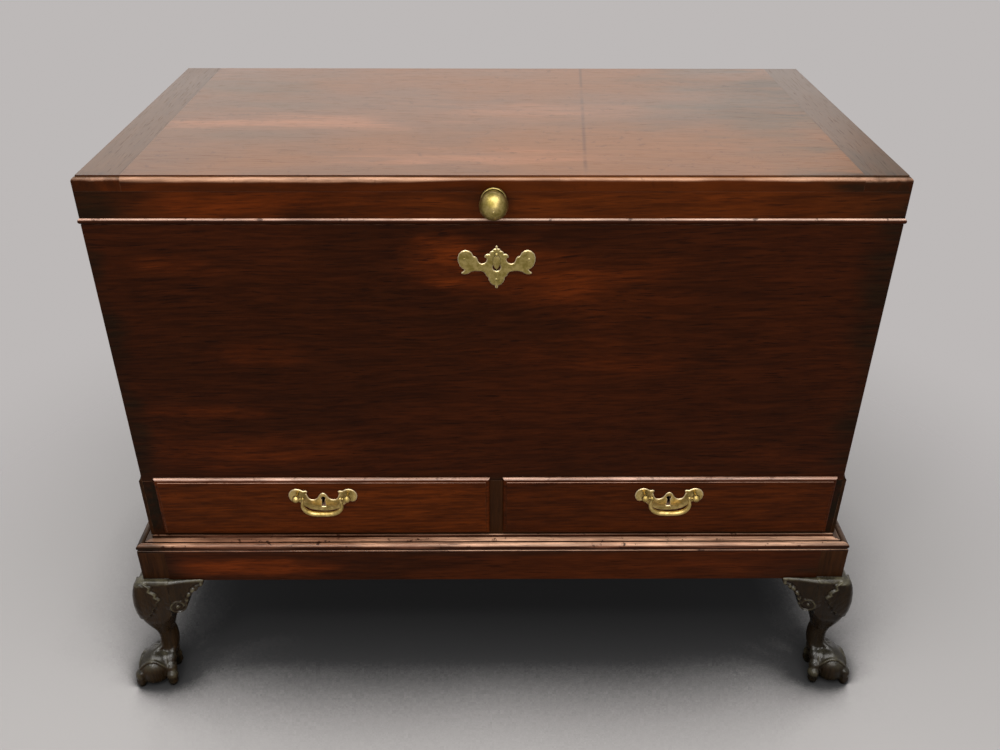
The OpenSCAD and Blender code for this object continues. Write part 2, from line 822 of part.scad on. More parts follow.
// A keyhole that runs back along Y from the origin
module keyhole(deep) {
    rotate([-90, 0, 0]) translate([0, 0, -5]) cylinder(h = deep + 10, r = keyhole_r);
    box([-keyhole_w / 2, -5, -keyhole_l], [keyhole_w / 2, deep + 5, 0]);
}

// An outline from the points of its right half, top to bottom, and their mirror image
module both_halves(half) {
    polygon(concat(half, [for (i = [len(half) - 1:-1:0]) [-half[i][0], half[i][1]]]));
}

// Outline of the batwing escutcheon, with the keyhole's round at the origin
module escutcheon_outline() {
    scale(escutcheon_size) {
        both_halves([
            [0.6, 32], [1.8, 31], [3.6, 27.6], [8.6, 24.6], [12.6, 20.6], [12.4, 18.6], [10.6, 16.6],
            [12, 12.6], [16, 8.2], [21, 7.4], [25.5, 11], [27, 17.6], [34, 20], [46, 8], [37, -4],
            [31, -7], [21, -7.4], [13, -11.6], [8.6, -17.6], [4, -22.2], [1.8, -26.6], [0.6, -28.6]
        ]);
        for (side = [-1, 1]) {
            translate([side * 38, 12.6]) circle(13.6);
            translate([side * 33.6, -5]) circle(3.6);
            translate([side * 25.4, 15.6]) circle(2);
        }
    }
}

rivet_z = key_z + 17 * escutcheon_size;

module escutcheon() {
    color(brass) difference() {
        union() {
            translate([off_centre, front_y, key_z]) rotate([90, 0, 0]) linear_extrude(plate_t)
                escutcheon_outline();
            translate([off_centre, front_y, rivet_z]) rotate([90, 0, 0]) {
                cylinder(h = plate_t + 2 * slip_gap + cover_t + 0.2, r = rivet_r);
                translate([0, 0, plate_t + 2 * slip_gap + cover_t]) cylinder(h = 1, r = rivet_r + 1.1);
            }
        }
        translate([off_centre, front_y, key_z]) keyhole(plate_t);
    }
}

// The swinging keyhole cover, a leaf with a ridge down its middle
module keyhole_cover() {
    drop = 21 * escutcheon_size;
    color(brass) translate([off_centre, front_y - plate_t - slip_gap, rivet_z]) rotate([90, 0, 0])
    difference() {
        linear_extrude(cover_t) union() {
            circle(3.2);
            intersection() {
                translate([12.4, -10]) circle(17);
                translate([-12.4, -10]) circle(17);
                translate([-10, -drop]) square([20, drop]);
            }
        }
        translate([0, 0, -1]) cylinder(h = 6, r = rivet_r + pivot_gap);
    }
}

// Lid lock, and the link plate whose staple it holds

link_y = front_in - lock_t / 2;
bolt_z = lid_bottom - staple_l + 7;
staple_x = off_centre + 8;

module lid_lock() {
    color(steel) difference() {
        box([off_centre - lock_w / 2, lock_in, lid_lock_z], [off_centre + lock_w / 2, front_in, case_top]);
        box([staple_x - staple_t / 2 - pocket_gap, link_y - staple_w / 2 - pocket_gap,
                case_top - staple_l - pocket_gap],
            [staple_x + staple_t / 2 + pocket_gap, link_y + staple_w / 2 + pocket_gap, case_top + 1]);
        box([staple_x - lid_bolt_l - throw, link_y - bolt_t / 2 - slip_gap,
                bolt_z - lid_bolt_h / 2 - slip_gap],
            [staple_x + throw + 4, link_y + bolt_t / 2 + slip_gap, bolt_z + lid_bolt_h / 2 + slip_gap]);
        translate([off_centre, lock_in, key_z]) keyhole(lock_t);
    }
}

module lid_lock_bolt() {
    tip = staple_x - staple_t / 2 - pocket_gap;
    color(steel) box([tip - lid_bolt_l, link_y - bolt_t / 2, bolt_z - lid_bolt_h / 2],
        [tip, link_y + bolt_t / 2, bolt_z + lid_bolt_h / 2]);
}

module lock_link_plate() {
    hole_h = lid_bolt_h + 2 * pocket_gap;
    hole_d = bolt_t + 1;
    color(steel) difference() {
        union() {
            box([off_centre - link_w / 2, link_y - link_d / 2, lid_bottom],
                [off_centre + link_w / 2, link_y + link_d / 2, lid_bottom + link_t]);
            box([staple_x - staple_t / 2, link_y - staple_w / 2, lid_bottom - staple_l],
                [staple_x + staple_t / 2, link_y + staple_w / 2, lid_bottom + link_t]);
        }
        box([staple_x - staple_t, link_y - hole_d / 2, bolt_z - hole_h / 2],
            [staple_x + staple_t, link_y + hole_d / 2, bolt_z + hole_h / 2]);
    }
}

// Drawers

lip_y = front_y - slip_gap;
lip_bottom = case_floor + lip_rise;
lip_top = opening_top + lip_on_top;
lip_h = lip_top - lip_bottom;
box_front = lip_y + drawer_front_t;
box_back = back_in - drawer_room;
box_bottom = case_floor + drawer_run;
box_top = opening_top - drawer_gap;
bottom_z = box_bottom + groove_z;

// One drawer's lip edges and box edges along X
function lip_x(left) = left ? [-inner_x - lip_on_left, muntin_l + lip_on_divider]
    : [muntin_r - lip_on_divider, inner_x + lip_on_right];
function box_x(left) = left ? [-inner_x + drawer_gap, muntin_l - drawer_gap]
    : [muntin_r + drawer_gap, inner_x - drawer_gap];
function drawer_mid(left) = left ? left_mid : right_mid;

// Section of a moulded lip of width w: X across it from 0, Y forwards from the case's face
module lip_profile(w) {
    inset = lip_r + field_flat;
    square([w, lip_edge_t]);
    translate([lip_r, 0]) square([w - 2 * lip_r, lip_edge_t + lip_r]);
    for (x = [lip_r, w - lip_r]) translate([x, lip_edge_t]) intersection() {
        circle(lip_r);
        translate([-lip_r, 0]) square([2 * lip_r, lip_r]);
    }
    translate([inset, 0]) square([w - 2 * inset, lip_edge_t + lip_r + field_rise]);
}

lip_t = lip_edge_t + lip_r + field_rise;
face_y = lip_y - lip_t;
lock_h0 = box_top - drawer_lock_h;
bolt_y = box_front - lock_t / 2;
handle_z = case_floor + handle_rise;

// The dovetails on the front ends of a drawer side, as a profile of Y and Z
tail_l = drawer_front_t - tail_space;
tail_pitch = (box_top - box_bottom - 2 * tail_margin) / tails;

module tails_profile(extra) {
    for (i = [0:tails - 1]) translate([box_front, box_bottom + tail_margin + (i + 0.5) * tail_pitch]) {
        root = tail_pitch / 2 - tail_space;
        polygon([
            [extra, root + extra], [-tail_l - extra, root + tail_rise + extra],
            [-tail_l - extra, -root - tail_rise - extra], [extra, -root - extra]
        ]);
    }
}

module drawer_front(left) {
    lx = lip_x(left);
    bx = box_x(left);
    mid = drawer_mid(left);
    w = lx[1] - lx[0];
    color(mahogany) difference() {
        union() {
            intersection() {
                translate([lx[0], lip_y, lip_bottom - 1]) linear_extrude(lip_h + 2)
                    mirror([0, 1]) lip_profile(w);
                translate([lx[0] - 1, lip_y, lip_bottom]) rotate([90, 0, 90]) linear_extrude(w + 2)
                    mirror([1, 0]) rotate(90) mirror([0, 1]) lip_profile(lip_h);
            }
            box([bx[0], lip_y - 0.5, lip_bottom], [bx[1], box_front, box_top]);
        }
        for (x = bx) translate([x, 0, 0]) along_x(2 * drawer_t) tails_profile(groove_gap);
        box([bx[0] + drawer_t - groove_d, box_front - groove_d, bottom_z - groove_gap],
            [bx[1] - drawer_t + groove_d, box_front + 1, bottom_z + drawer_bottom_t + groove_gap]);
        box([mid - drawer_lock_w / 2 - tenon_gap, box_front - lock_t - tenon_gap, lock_h0 - tenon_gap],
            [mid + drawer_lock_w / 2 + tenon_gap, box_front + 1, box_top + 1]);
        translate([mid, face_y, handle_z - key_below]) keyhole(lip_t + drawer_front_t);
        for (side = [-1, 1])
            translate([mid + side * post_pitch / 2, face_y - 1, handle_z]) rotate([-90, 0, 0])
                cylinder(h = lip_t + drawer_front_t + 2, r = stem_r + pivot_gap);
    }
}

module drawer_sides(left) {
    bx = box_x(left);
    color(drawer_wood) for (end = [0, 1]) difference() {
        union() {
            x0 = end == 0 ? bx[0] : bx[1] - drawer_t;
            box([x0, box_front, box_bottom], [x0 + drawer_t, box_back, box_top]);
            translate([x0 + drawer_t / 2, 0, 0]) along_x(drawer_t) intersection() {
                tails_profile(0);
                translate([box_front - tail_l, box_bottom]) square([tail_l + 1, box_top - box_bottom]);
            }
        }
        box([bx[0] + drawer_t - groove_d, box_front - groove_d, bottom_z - groove_gap],
            [bx[1] - drawer_t + groove_d, box_back + 1, bottom_z + drawer_bottom_t + groove_gap]);
    }
}

module drawer_back(left) {
    bx = box_x(left);
    color(drawer_wood) box([bx[0] + drawer_t, box_back - drawer_t, bottom_z + drawer_bottom_t + groove_gap],
        [bx[1] - drawer_t, box_back, box_top - 4]);
}

module drawer_bottom(left) {
    bx = box_x(left);
    color(drawer_wood)
        box([bx[0] + drawer_t - groove_d + groove_gap, box_front - groove_d + groove_gap, bottom_z],
            [bx[1] - drawer_t + groove_d - groove_gap, box_back, bottom_z + drawer_bottom_t]);
}

module drawer_lock(left) {
    mid = drawer_mid(left);
    color(steel) difference() {
        box([mid - drawer_lock_w / 2, box_front - lock_t, lock_h0],
            [mid + drawer_lock_w / 2, box_front, box_top]);
        box([mid - bolt_w / 2 - slip_gap, bolt_y - bolt_t / 2 - slip_gap, box_top - bolt_l - slip_gap],
            [mid + bolt_w / 2 + slip_gap, bolt_y + bolt_t / 2 + slip_gap, box_top + 1]);
        translate([mid, box_front - lock_t, handle_z - key_below]) keyhole(lock_t);
    }
}

module lock_bolt(left) {
    mid = drawer_mid(left);
    color(steel) box([mid - bolt_w / 2, bolt_y - bolt_t / 2, box_top - bolt_l],
        [mid + bolt_w / 2, bolt_y + bolt_t / 2, box_top]);
}

// Handles

// Outline of a handle's batwing plate, with the posts' middle line at height 0
module plate_outline() {
    x = post_pitch / 2;
    both_halves([
        [1.6, 1.2], [4, -1.2], [7, -6], [10, -10.6], [13.6, -13], [17.6, -12.6], [21, -9], [23.4, -3],
        [24.8, 5], [26, 8], [28.4, 8.4], [x - 7, 7], [x - 4, 8.4], [x, 9], [x + 5, 8], [x + 9.6, 5],
        [x + 12.8, 0.4], [x + 14, -5], [x + 12.8, -10.6], [x + 9.6, -15], [x + 5, -18], [x, -19],
        [33, -20.4], [27, -25], [20, -30], [12, -32.4], [4, -33]
    ]);
}

module handle_plate(left) {
    color(brass) translate([drawer_mid(left), face_y, handle_z]) difference() {
        rotate([90, 0, 0]) linear_extrude(plate_t) plate_outline();
        translate([0, -plate_t, -key_below]) keyhole(plate_t);
        for (side = [-1, 1]) translate([side * post_pitch / 2, -plate_t - 1, 0]) rotate([-90, 0, 0])
            cylinder(h = plate_t + 2, r = stem_r + pivot_gap);
    }
}

module handle_posts(left) {
    reach = plate_t + head_reach;
    stem = lip_t + drawer_front_t + 6;
    color(brass) for (side = [-1, 1])
        translate([drawer_mid(left) + side * post_pitch / 2, face_y, handle_z]) difference() {
            union() {
                translate([0, -reach, 0]) sphere(head_r);
                rotate([90, 0, 0]) cylinder(h = reach, r = stem_r);
                translate([0, -plate_t, 0]) rotate([90, 0, 0]) cylinder(h = collar_t, r = head_r - 0.6);
                translate([0, -plate_t - 4, 0]) rotate([90, 0, 0]) cylinder(h = 1.6, r = stem_r + 1.2);
                rotate([-90, 0, 0]) cylinder(h = stem, r = stem_r);
                box([-nut_w / 2, lip_t + drawer_front_t, -nut_w / 2],
                    [nut_w / 2, lip_t + drawer_front_t + nut_t, nut_w / 2]);
            }
            translate([-side * (head_r + 1), -reach, 0]) rotate([0, side * 90, 0])
                cylinder(h = pivot_l + 1.6, r = bail_pin_r + pivot_gap);
        }
}

// The middle line of the right half of a bail: X from the middle, Z below the posts
arm_x = post_pitch / 2 - head_r - slip_gap - bail_r;
bail_line = [
    [arm_x, 0], [arm_x + 0.6, -4], [arm_x + 3.2, -8.6], [arm_x + 4.4, -13.6], [arm_x + 2.2, -19],
    [arm_x - 3.4, -24.4], [arm_x - 10.6, -bail_drop + 2.4], [arm_x - 19, -bail_drop + 0.3], [0, -bail_drop]
];

// The bar thins from its middle to its ends
function bail_half(steps) = [
    for (i = [0:len(bail_line) - 2], s = [0:steps - 1]) let(
        n = len(bail_line) - 1, t = s / steps,
        a = bail_line[max(i - 1, 0)], b = bail_line[i], c = bail_line[i + 1], d = bail_line[min(i + 2, n)]
    ) [smooth(a[0], b[0], c[0], d[0], t), smooth(a[1], b[1], c[1], d[1], t),
       bail_r * (0.72 + 0.28 * (i + t) / n)]
];

module bail(left) {
    half = bail_half(2);
    n = len(half);
    path = concat(half, [[0, -bail_drop, bail_r]],
        [for (i = [n - 1:-1:0]) [-half[i][0], half[i][1], half[i][2]]]);
    last = len(path) - 1;
    rings = [for (i = [0:last]) let(
        p = path[i], a = path[max(i - 1, 0)], b = path[min(i + 1, last)],
        turn = i == 0 || i == last ? -90 * (i == 0 ? 1 : -1) : atan2(b[1] - a[1], b[0] - a[0]),
        nx = -sin(turn), nz = cos(turn)
    ) [for (k = [0:11]) let(u = 30 * k)
        [p[0] + nx * p[2] * cos(u), p[2] * sin(u), p[1] + nz * p[2] * cos(u)]]];
    color(brass) translate([drawer_mid(left), face_y - plate_t - head_reach, handle_z]) union() {
        skin(rings);
        for (side = [-1, 1]) {
            translate([side * arm_x, 0, 0]) sphere(bail_r, $fn = 24);
            translate([side * arm_x, 0, 0]) rotate([0, side * 90, 0])
                cylinder(h = bail_r + pivot_l, r = bail_pin_r);
        }
    }
}

module left_drawer_front() { drawer_front(true); }
module left_drawer_sides() { drawer_sides(true); }
module left_drawer_back() { drawer_back(true); }
module left_drawer_bottom() { drawer_bottom(true); }
module left_drawer_lock() { drawer_lock(true); }
module left_lock_bolt() { lock_bolt(true); }
module left_handle_plate() { handle_plate(true); }
module left_handle_posts() { handle_posts(true); }
module left_bail() { bail(true); }
module right_drawer_front() { drawer_front(false); }
module right_drawer_sides() { drawer_sides(false); }
module right_drawer_back() { drawer_back(false); }
module right_drawer_bottom() { drawer_bottom(false); }
module right_drawer_lock() { drawer_lock(false); }
module right_lock_bolt() { lock_bolt(false); }
module right_handle_plate() { handle_plate(false); }
module right_handle_posts() { handle_posts(false); }
module right_bail() { bail(false); }

stand_front_rail();
stand_back_rail();
stand_side_rails();
leg_front_left();
leg_front_right();
leg_rear_left();
leg_rear_right();
brackets_front_left();
brackets_front_right();
bracket_rear_left();
bracket_rear_right();
moulding_front();
moulding_left();
moulding_right();
case_front();
case_back();
case_side_left();
case_side_right();
side_step_left();
side_step_right();
well_floor();
case_bottom();
drawer_muntin();
drawer_divider();
lid_panel();
lid_cleat_left();
lid_cleat_right();
lid_front_rail();
lid_back_rail();
lid_side_rail_left();
lid_side_rail_right();
lid_bead();
lid_knob();
knob_rose();
hinge_leaves_case();
hinge_leaves_lid();
hinge_pins();
escutcheon();
keyhole_cover();
lid_lock();
lid_lock_bolt();
lock_link_plate();
left_drawer_front();
left_drawer_sides();
left_drawer_back();
left_drawer_bottom();
left_drawer_lock();
left_lock_bolt();
left_handle_plate();
left_handle_posts();
left_bail();
right_drawer_front();
right_drawer_sides();
right_drawer_back();
right_drawer_bottom();
right_drawer_lock();
right_lock_bolt();
right_handle_plate();
right_handle_posts();
right_bail();
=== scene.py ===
"""Mahogany silver chest on a stand with carved legs, two drawers and a lift-up lid."""
import math

import bmesh
import bpy
import numpy as np
from mathutils import Matrix, Vector


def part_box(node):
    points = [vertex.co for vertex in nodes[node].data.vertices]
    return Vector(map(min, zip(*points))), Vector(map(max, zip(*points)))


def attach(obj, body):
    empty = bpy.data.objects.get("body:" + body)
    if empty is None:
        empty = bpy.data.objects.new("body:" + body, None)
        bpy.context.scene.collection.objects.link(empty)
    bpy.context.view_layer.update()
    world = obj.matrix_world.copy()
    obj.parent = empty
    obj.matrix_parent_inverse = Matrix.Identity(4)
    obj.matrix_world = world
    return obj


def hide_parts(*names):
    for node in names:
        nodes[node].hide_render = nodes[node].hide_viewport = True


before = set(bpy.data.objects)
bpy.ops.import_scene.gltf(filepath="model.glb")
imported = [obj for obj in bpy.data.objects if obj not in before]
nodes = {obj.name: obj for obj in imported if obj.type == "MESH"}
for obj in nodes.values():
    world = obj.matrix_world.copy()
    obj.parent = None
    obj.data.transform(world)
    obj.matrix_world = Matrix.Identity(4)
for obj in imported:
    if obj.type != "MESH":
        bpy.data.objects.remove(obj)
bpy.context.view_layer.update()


# ------------------------ camera
# The chest is seen from a standing eye height, close in front of the middle,
# looking down at it with an ordinary short lens.
def placed(name, data):
    """A new object in the scene"""
    made = bpy.data.objects.new(name, data)
    bpy.context.collection.objects.link(made)
    return made


camera = placed("camera", bpy.data.cameras.new("camera"))
camera.data.lens = 34.757
camera.data.sensor_width = 36
camera.data.clip_start = 0.02
eye = (-0.00205, -1.4341, 1.29348)
yaw, pitch, roll = (math.radians(angle) for angle in (-0.544, 31.47, 0.213))
forward = Vector((-math.sin(yaw) * math.cos(pitch), math.cos(yaw) * math.cos(pitch), -math.sin(pitch)))
right = Vector((math.cos(yaw), math.sin(yaw), 0))
up = right.cross(forward)
tilted_right = math.cos(roll) * right + math.sin(roll) * up
tilted_up = math.cos(roll) * up - math.sin(roll) * right
turn = Matrix((tilted_right, tilted_up, -forward)).transposed().to_4x4()
camera.matrix_world = Matrix.Translation(eye) @ turn
bpy.context.scene.camera = camera
bpy.context.scene.view_settings.view_transform = "Standard"


# ------------------------ room
# A pale seamless floor that fades into a plain pale room, lit by a soft box
# overhead, a soft window behind, a small lamp and a weak fill from the front.
# The floor's colour carries a painted shadow under the chest, from ambient occlusion.
def add(tree, kind, inputs=None, **settings):
    """Adds a shader node, with its settings, and a value or a link for each named input"""
    node = tree.nodes.new(kind if kind.startswith("Node") else "ShaderNode" + kind)
    for name, value in settings.items():
        setattr(node, name, value)
    for key, value in (inputs or {}).items():
        socket = node.inputs[key]
        if isinstance(value, bpy.types.NodeSocket):
            tree.links.new(value, socket)
        else:
            socket.default_value = value
    return node


def math_node(tree, operation, a, b=0.0, clamp=False):
    return add(tree, "Math", {0: a, 1: b}, operation=operation, use_clamp=clamp).outputs[0]


def times(tree, a, b):
    return math_node(tree, "MULTIPLY", a, b)


def vector_math(tree, operation, *terms):
    """Arithmetic on vectors, where the second term of SCALE is a factor"""
    keys = (0, "Scale") if operation == "SCALE" else (0, 1)
    made = add(tree, "VectorMath", dict(zip(keys, terms)), operation=operation).outputs
    return made["Value" if operation in ("LENGTH", "DOT_PRODUCT") else "Vector"]


def ramp(tree, value, low, high, to_low=0.0, to_high=1.0):
    """A value that goes smoothly from to_low to to_high as the input goes from low to high"""
    inputs = {"Value": value, "From Min": low, "From Max": high, "To Min": to_low, "To Max": to_high}
    return add(tree, "MapRange", inputs, interpolation_type="SMOOTHSTEP").outputs[0]


def blend(tree, factor, a, b):
    """A mix of two colours"""
    node = add(tree, "Mix", data_type="RGBA")
    for index, value in ((0, factor), (6, a), (7, b)):
        if isinstance(value, bpy.types.NodeSocket):
            tree.links.new(value, node.inputs[index])
        else:
            node.inputs[index].default_value = value if index == 0 else (*value, 1)
    return node.outputs[2]


def blank_material(name):
    """A material, and its node tree with nothing in it"""
    material = bpy.data.materials.new(name)
    material.use_nodes = True
    material.node_tree.nodes.clear()
    return material, material.node_tree


def seen_directly(tree):
    """1 for what the camera sees, also in a mirror or through glass"""
    path = add(tree, "LightPath").outputs
    seen = math_node(tree, "ADD", path["Is Camera Ray"], path["Is Glossy Ray"])
    return math_node(tree, "ADD", seen, path["Is Transmission Ray"], clamp=True)


def meshed(name, bm):
    """A mesh of a bmesh, which is then done with"""
    mesh = bpy.data.meshes.new(name)
    bm.to_mesh(mesh)
    bm.free()
    return mesh


background = (0.508, 0.484, 0.479)
world = bpy.data.worlds.new("room")
bpy.context.scene.world = world
world.use_nodes = True
tree = world.node_tree
tree.nodes.clear()
shown = add(tree, "Background", {"Color": (*background, 1), "Strength": 1.0})
lighting = add(tree, "Background", {"Color": (0.96, 0.98, 1.0, 1), "Strength": 0.42})
both = add(tree, "MixShader", {0: seen_directly(tree), 1: lighting.outputs[0], 2: shown.outputs[0]})
add(tree, "OutputWorld", {"Surface": both.outputs[0]})

bm = bmesh.new()
bmesh.ops.create_circle(bm, cap_ends=True, radius=6, segments=96)
floor = placed("floor", meshed("floor", bm))
floor_material, tree = blank_material("pale_floor")
floor.data.materials.append(floor_material)
# Painted shadow: the floor's colour darkens under the chest where ambient occlusion is low, but not beside it.
painted_shadow, floor_pale = (0.036, 0.036, 0.037), (0.41, 0.394, 0.39)
place = add(tree, "TexCoord").outputs["Object"]
far = vector_math(tree, "LENGTH", vector_math(tree, "SUBTRACT", place, (0, -0.1, 0)))
shelter = add(tree, "AmbientOcclusion", {"Distance": 0.55}, samples=16).outputs["AO"]
aside = math_node(tree, "ABSOLUTE", add(tree, "SeparateXYZ", {0: place}).outputs["X"])
unshaded = math_node(tree, "MAXIMUM", ramp(tree, shelter, 0.603, 0.82), ramp(tree, aside, 0.57, 0.84))
matt = add(tree, "BsdfDiffuse", {"Color": blend(tree, unshaded, painted_shadow, floor_pale)})
clear = add(tree, "BsdfTransparent")
fade = times(tree, ramp(tree, far, 0.75, 1.5), seen_directly(tree))
surface = add(tree, "MixShader", {0: fade, 1: matt.outputs[0], 2: clear.outputs[0]})
add(tree, "OutputMaterial", {"Surface": surface.outputs[0]})

for name, place, target, size, watts, colour in (
    ("overhead_box", (-0.1, -0.9, 2.9), (0, -0.1, 0.3), (3.2, 2.2), 75, (1, 0.985, 0.96)),
    ("rear_window", (-0.4, 3.1, 2.0), (0, 0, 0.8), (4.6, 2.3), 27, (1, 0.985, 0.96)),
    ("small_lamp", (-0.7, -1.7, 2.4), (0, 0, 0.4), (0.3, 0.3), 7, (1, 0.97, 0.92)),
    ("front_fill", (0.2, -3.6, 2.3), (0, 0, 0.4), (3.4, 1.8), 55, (1, 0.97, 0.94)),
):
    lamp = bpy.data.lights.new(name, "AREA")
    lamp.shape = "RECTANGLE"
    lamp.size, lamp.size_y = size
    lamp.energy = watts
    lamp.color = colour
    hung = placed(name, lamp)
    hung.location = place
    hung.rotation_euler = (Vector(target) - Vector(place)).to_track_quat("-Z", "Y").to_euler()
    hung.visible_camera = False


# ------------------------ legs
# Each leg is one piece of mahogany from the foot to the square post at the
# stand's corner, sawn and carved: a leafed knee, a thin ankle, and talons
# that grip a ball.  Old wax and soot have made the carved part nearly black.
def new_group(name, inputs, outputs):
    """An empty shader group with its sockets"""
    group = bpy.data.node_groups.new(name, "ShaderNodeTree")
    for socket, kind, value in inputs:
        made = group.interface.new_socket(socket, in_out="INPUT", socket_type="NodeSocket" + kind)
        if value is not None:
            made.default_value = value
    for socket, kind in outputs:
        group.interface.new_socket(socket, in_out="OUTPUT", socket_type="NodeSocket" + kind)
    return group, group.nodes.new("NodeGroupInput").outputs


def noise(tree, vector, scale, detail, rough, stretch=1, output="Fac"):
    """Noise drawn out along X where stretch is below 1"""
    vector = vector_math(tree, "MULTIPLY", vector, (stretch, 1, 1))
    inputs = {"Vector": vector, "Scale": scale, "Detail": detail, "Roughness": rough}
    return add(tree, "TexNoise", inputs).outputs[output]


# Wood figure.  Place runs along the grain in X, with the tree's heart on the X axis.
figure, given = new_group(
    "wood_figure",
    [("Place", "Vector", None), ("Ring Scale", "Float", 34.0), ("Wave", "Float", 0.02)],
    [("Streaks", "Float"), ("Rings", "Float"), ("Patches", "Float"), ("Pores", "Float"), ("Fibre", "Float")],
)
drift = noise(figure, given["Place"], 8, 2, 0.5, 0.3, "Color")
drift = vector_math(figure, "SUBTRACT", drift, (0.5, 0.5, 0.5))
drift = vector_math(figure, "SCALE", drift, given["Wave"])
grown = vector_math(figure, "ADD", given["Place"], drift)
rings = add(
    figure, "TexWave",
    {"Vector": vector_math(figure, "MULTIPLY", grown, (0.12, 1, 1)), "Scale": given["Ring Scale"],
     "Distortion": 3.0, "Detail": 4.0, "Detail Scale": 2.2, "Detail Roughness": 0.62},
    wave_type="RINGS", rings_direction="X", wave_profile="SIN",
).outputs["Fac"]
come_and_go = ramp(figure, noise(figure, grown, 5, 2, 0.5, 0.4), 0.36, 0.62, 0.25, 1)
add(figure, "NodeGroupOutput", {
    "Streaks": ramp(figure, noise(figure, grown, 48, 6, 0.68, 0.13), 0.3, 0.7),
    "Rings": times(figure, ramp(figure, rings, 0.42, 0.98), come_and_go),
    "Patches": ramp(figure, noise(figure, grown, 4.2, 3, 0.55, 0.55), 0.4, 0.66),
    "Pores": ramp(figure, noise(figure, grown, 520, 2, 0.6, 0.05), 0.55, 0.72),
    "Fibre": noise(figure, grown, 260, 3, 0.6, 0.07),
})

# Edges: where an arris is rubbed pale, and where corners and creases darken, as grime and as painted shade.
worn, given = new_group(
    "worn_edges",
    [("Place", "Vector", None), ("Width", "Float", 0.0015), ("Grime And Shade Width", "Float", 0.012)],
    [("Rubbed", "Float"), ("Grime And Shade", "Float"), ("Normal", "Vector")],
)
soft = add(worn, "Bevel", {"Radius": given["Width"]}, samples=6).outputs[0]
hard = add(worn, "NewGeometry").outputs["Normal"]
edge = ramp(worn, vector_math(worn, "DOT_PRODUCT", soft, hard), 0.995, 0.8)
open_air = add(worn, "AmbientOcclusion", {"Distance": given["Grime And Shade Width"]}, samples=8).outputs["AO"]
chipped = ramp(worn, noise(worn, given["Place"], 55, 4, 0.6), 0.34, 0.62)
add(worn, "NodeGroupOutput", {
    "Rubbed": times(worn, times(worn, edge, chipped), ramp(worn, open_air, 0.55, 0.95)),
    "Grime And Shade": ramp(worn, open_air, 0.85, 0.25),
    "Normal": soft,
})

GRAIN_TURN = {"x": (0, 0, 0), "y": (0, 0, -math.pi / 2), "z": (0, math.pi / 2, 0)}


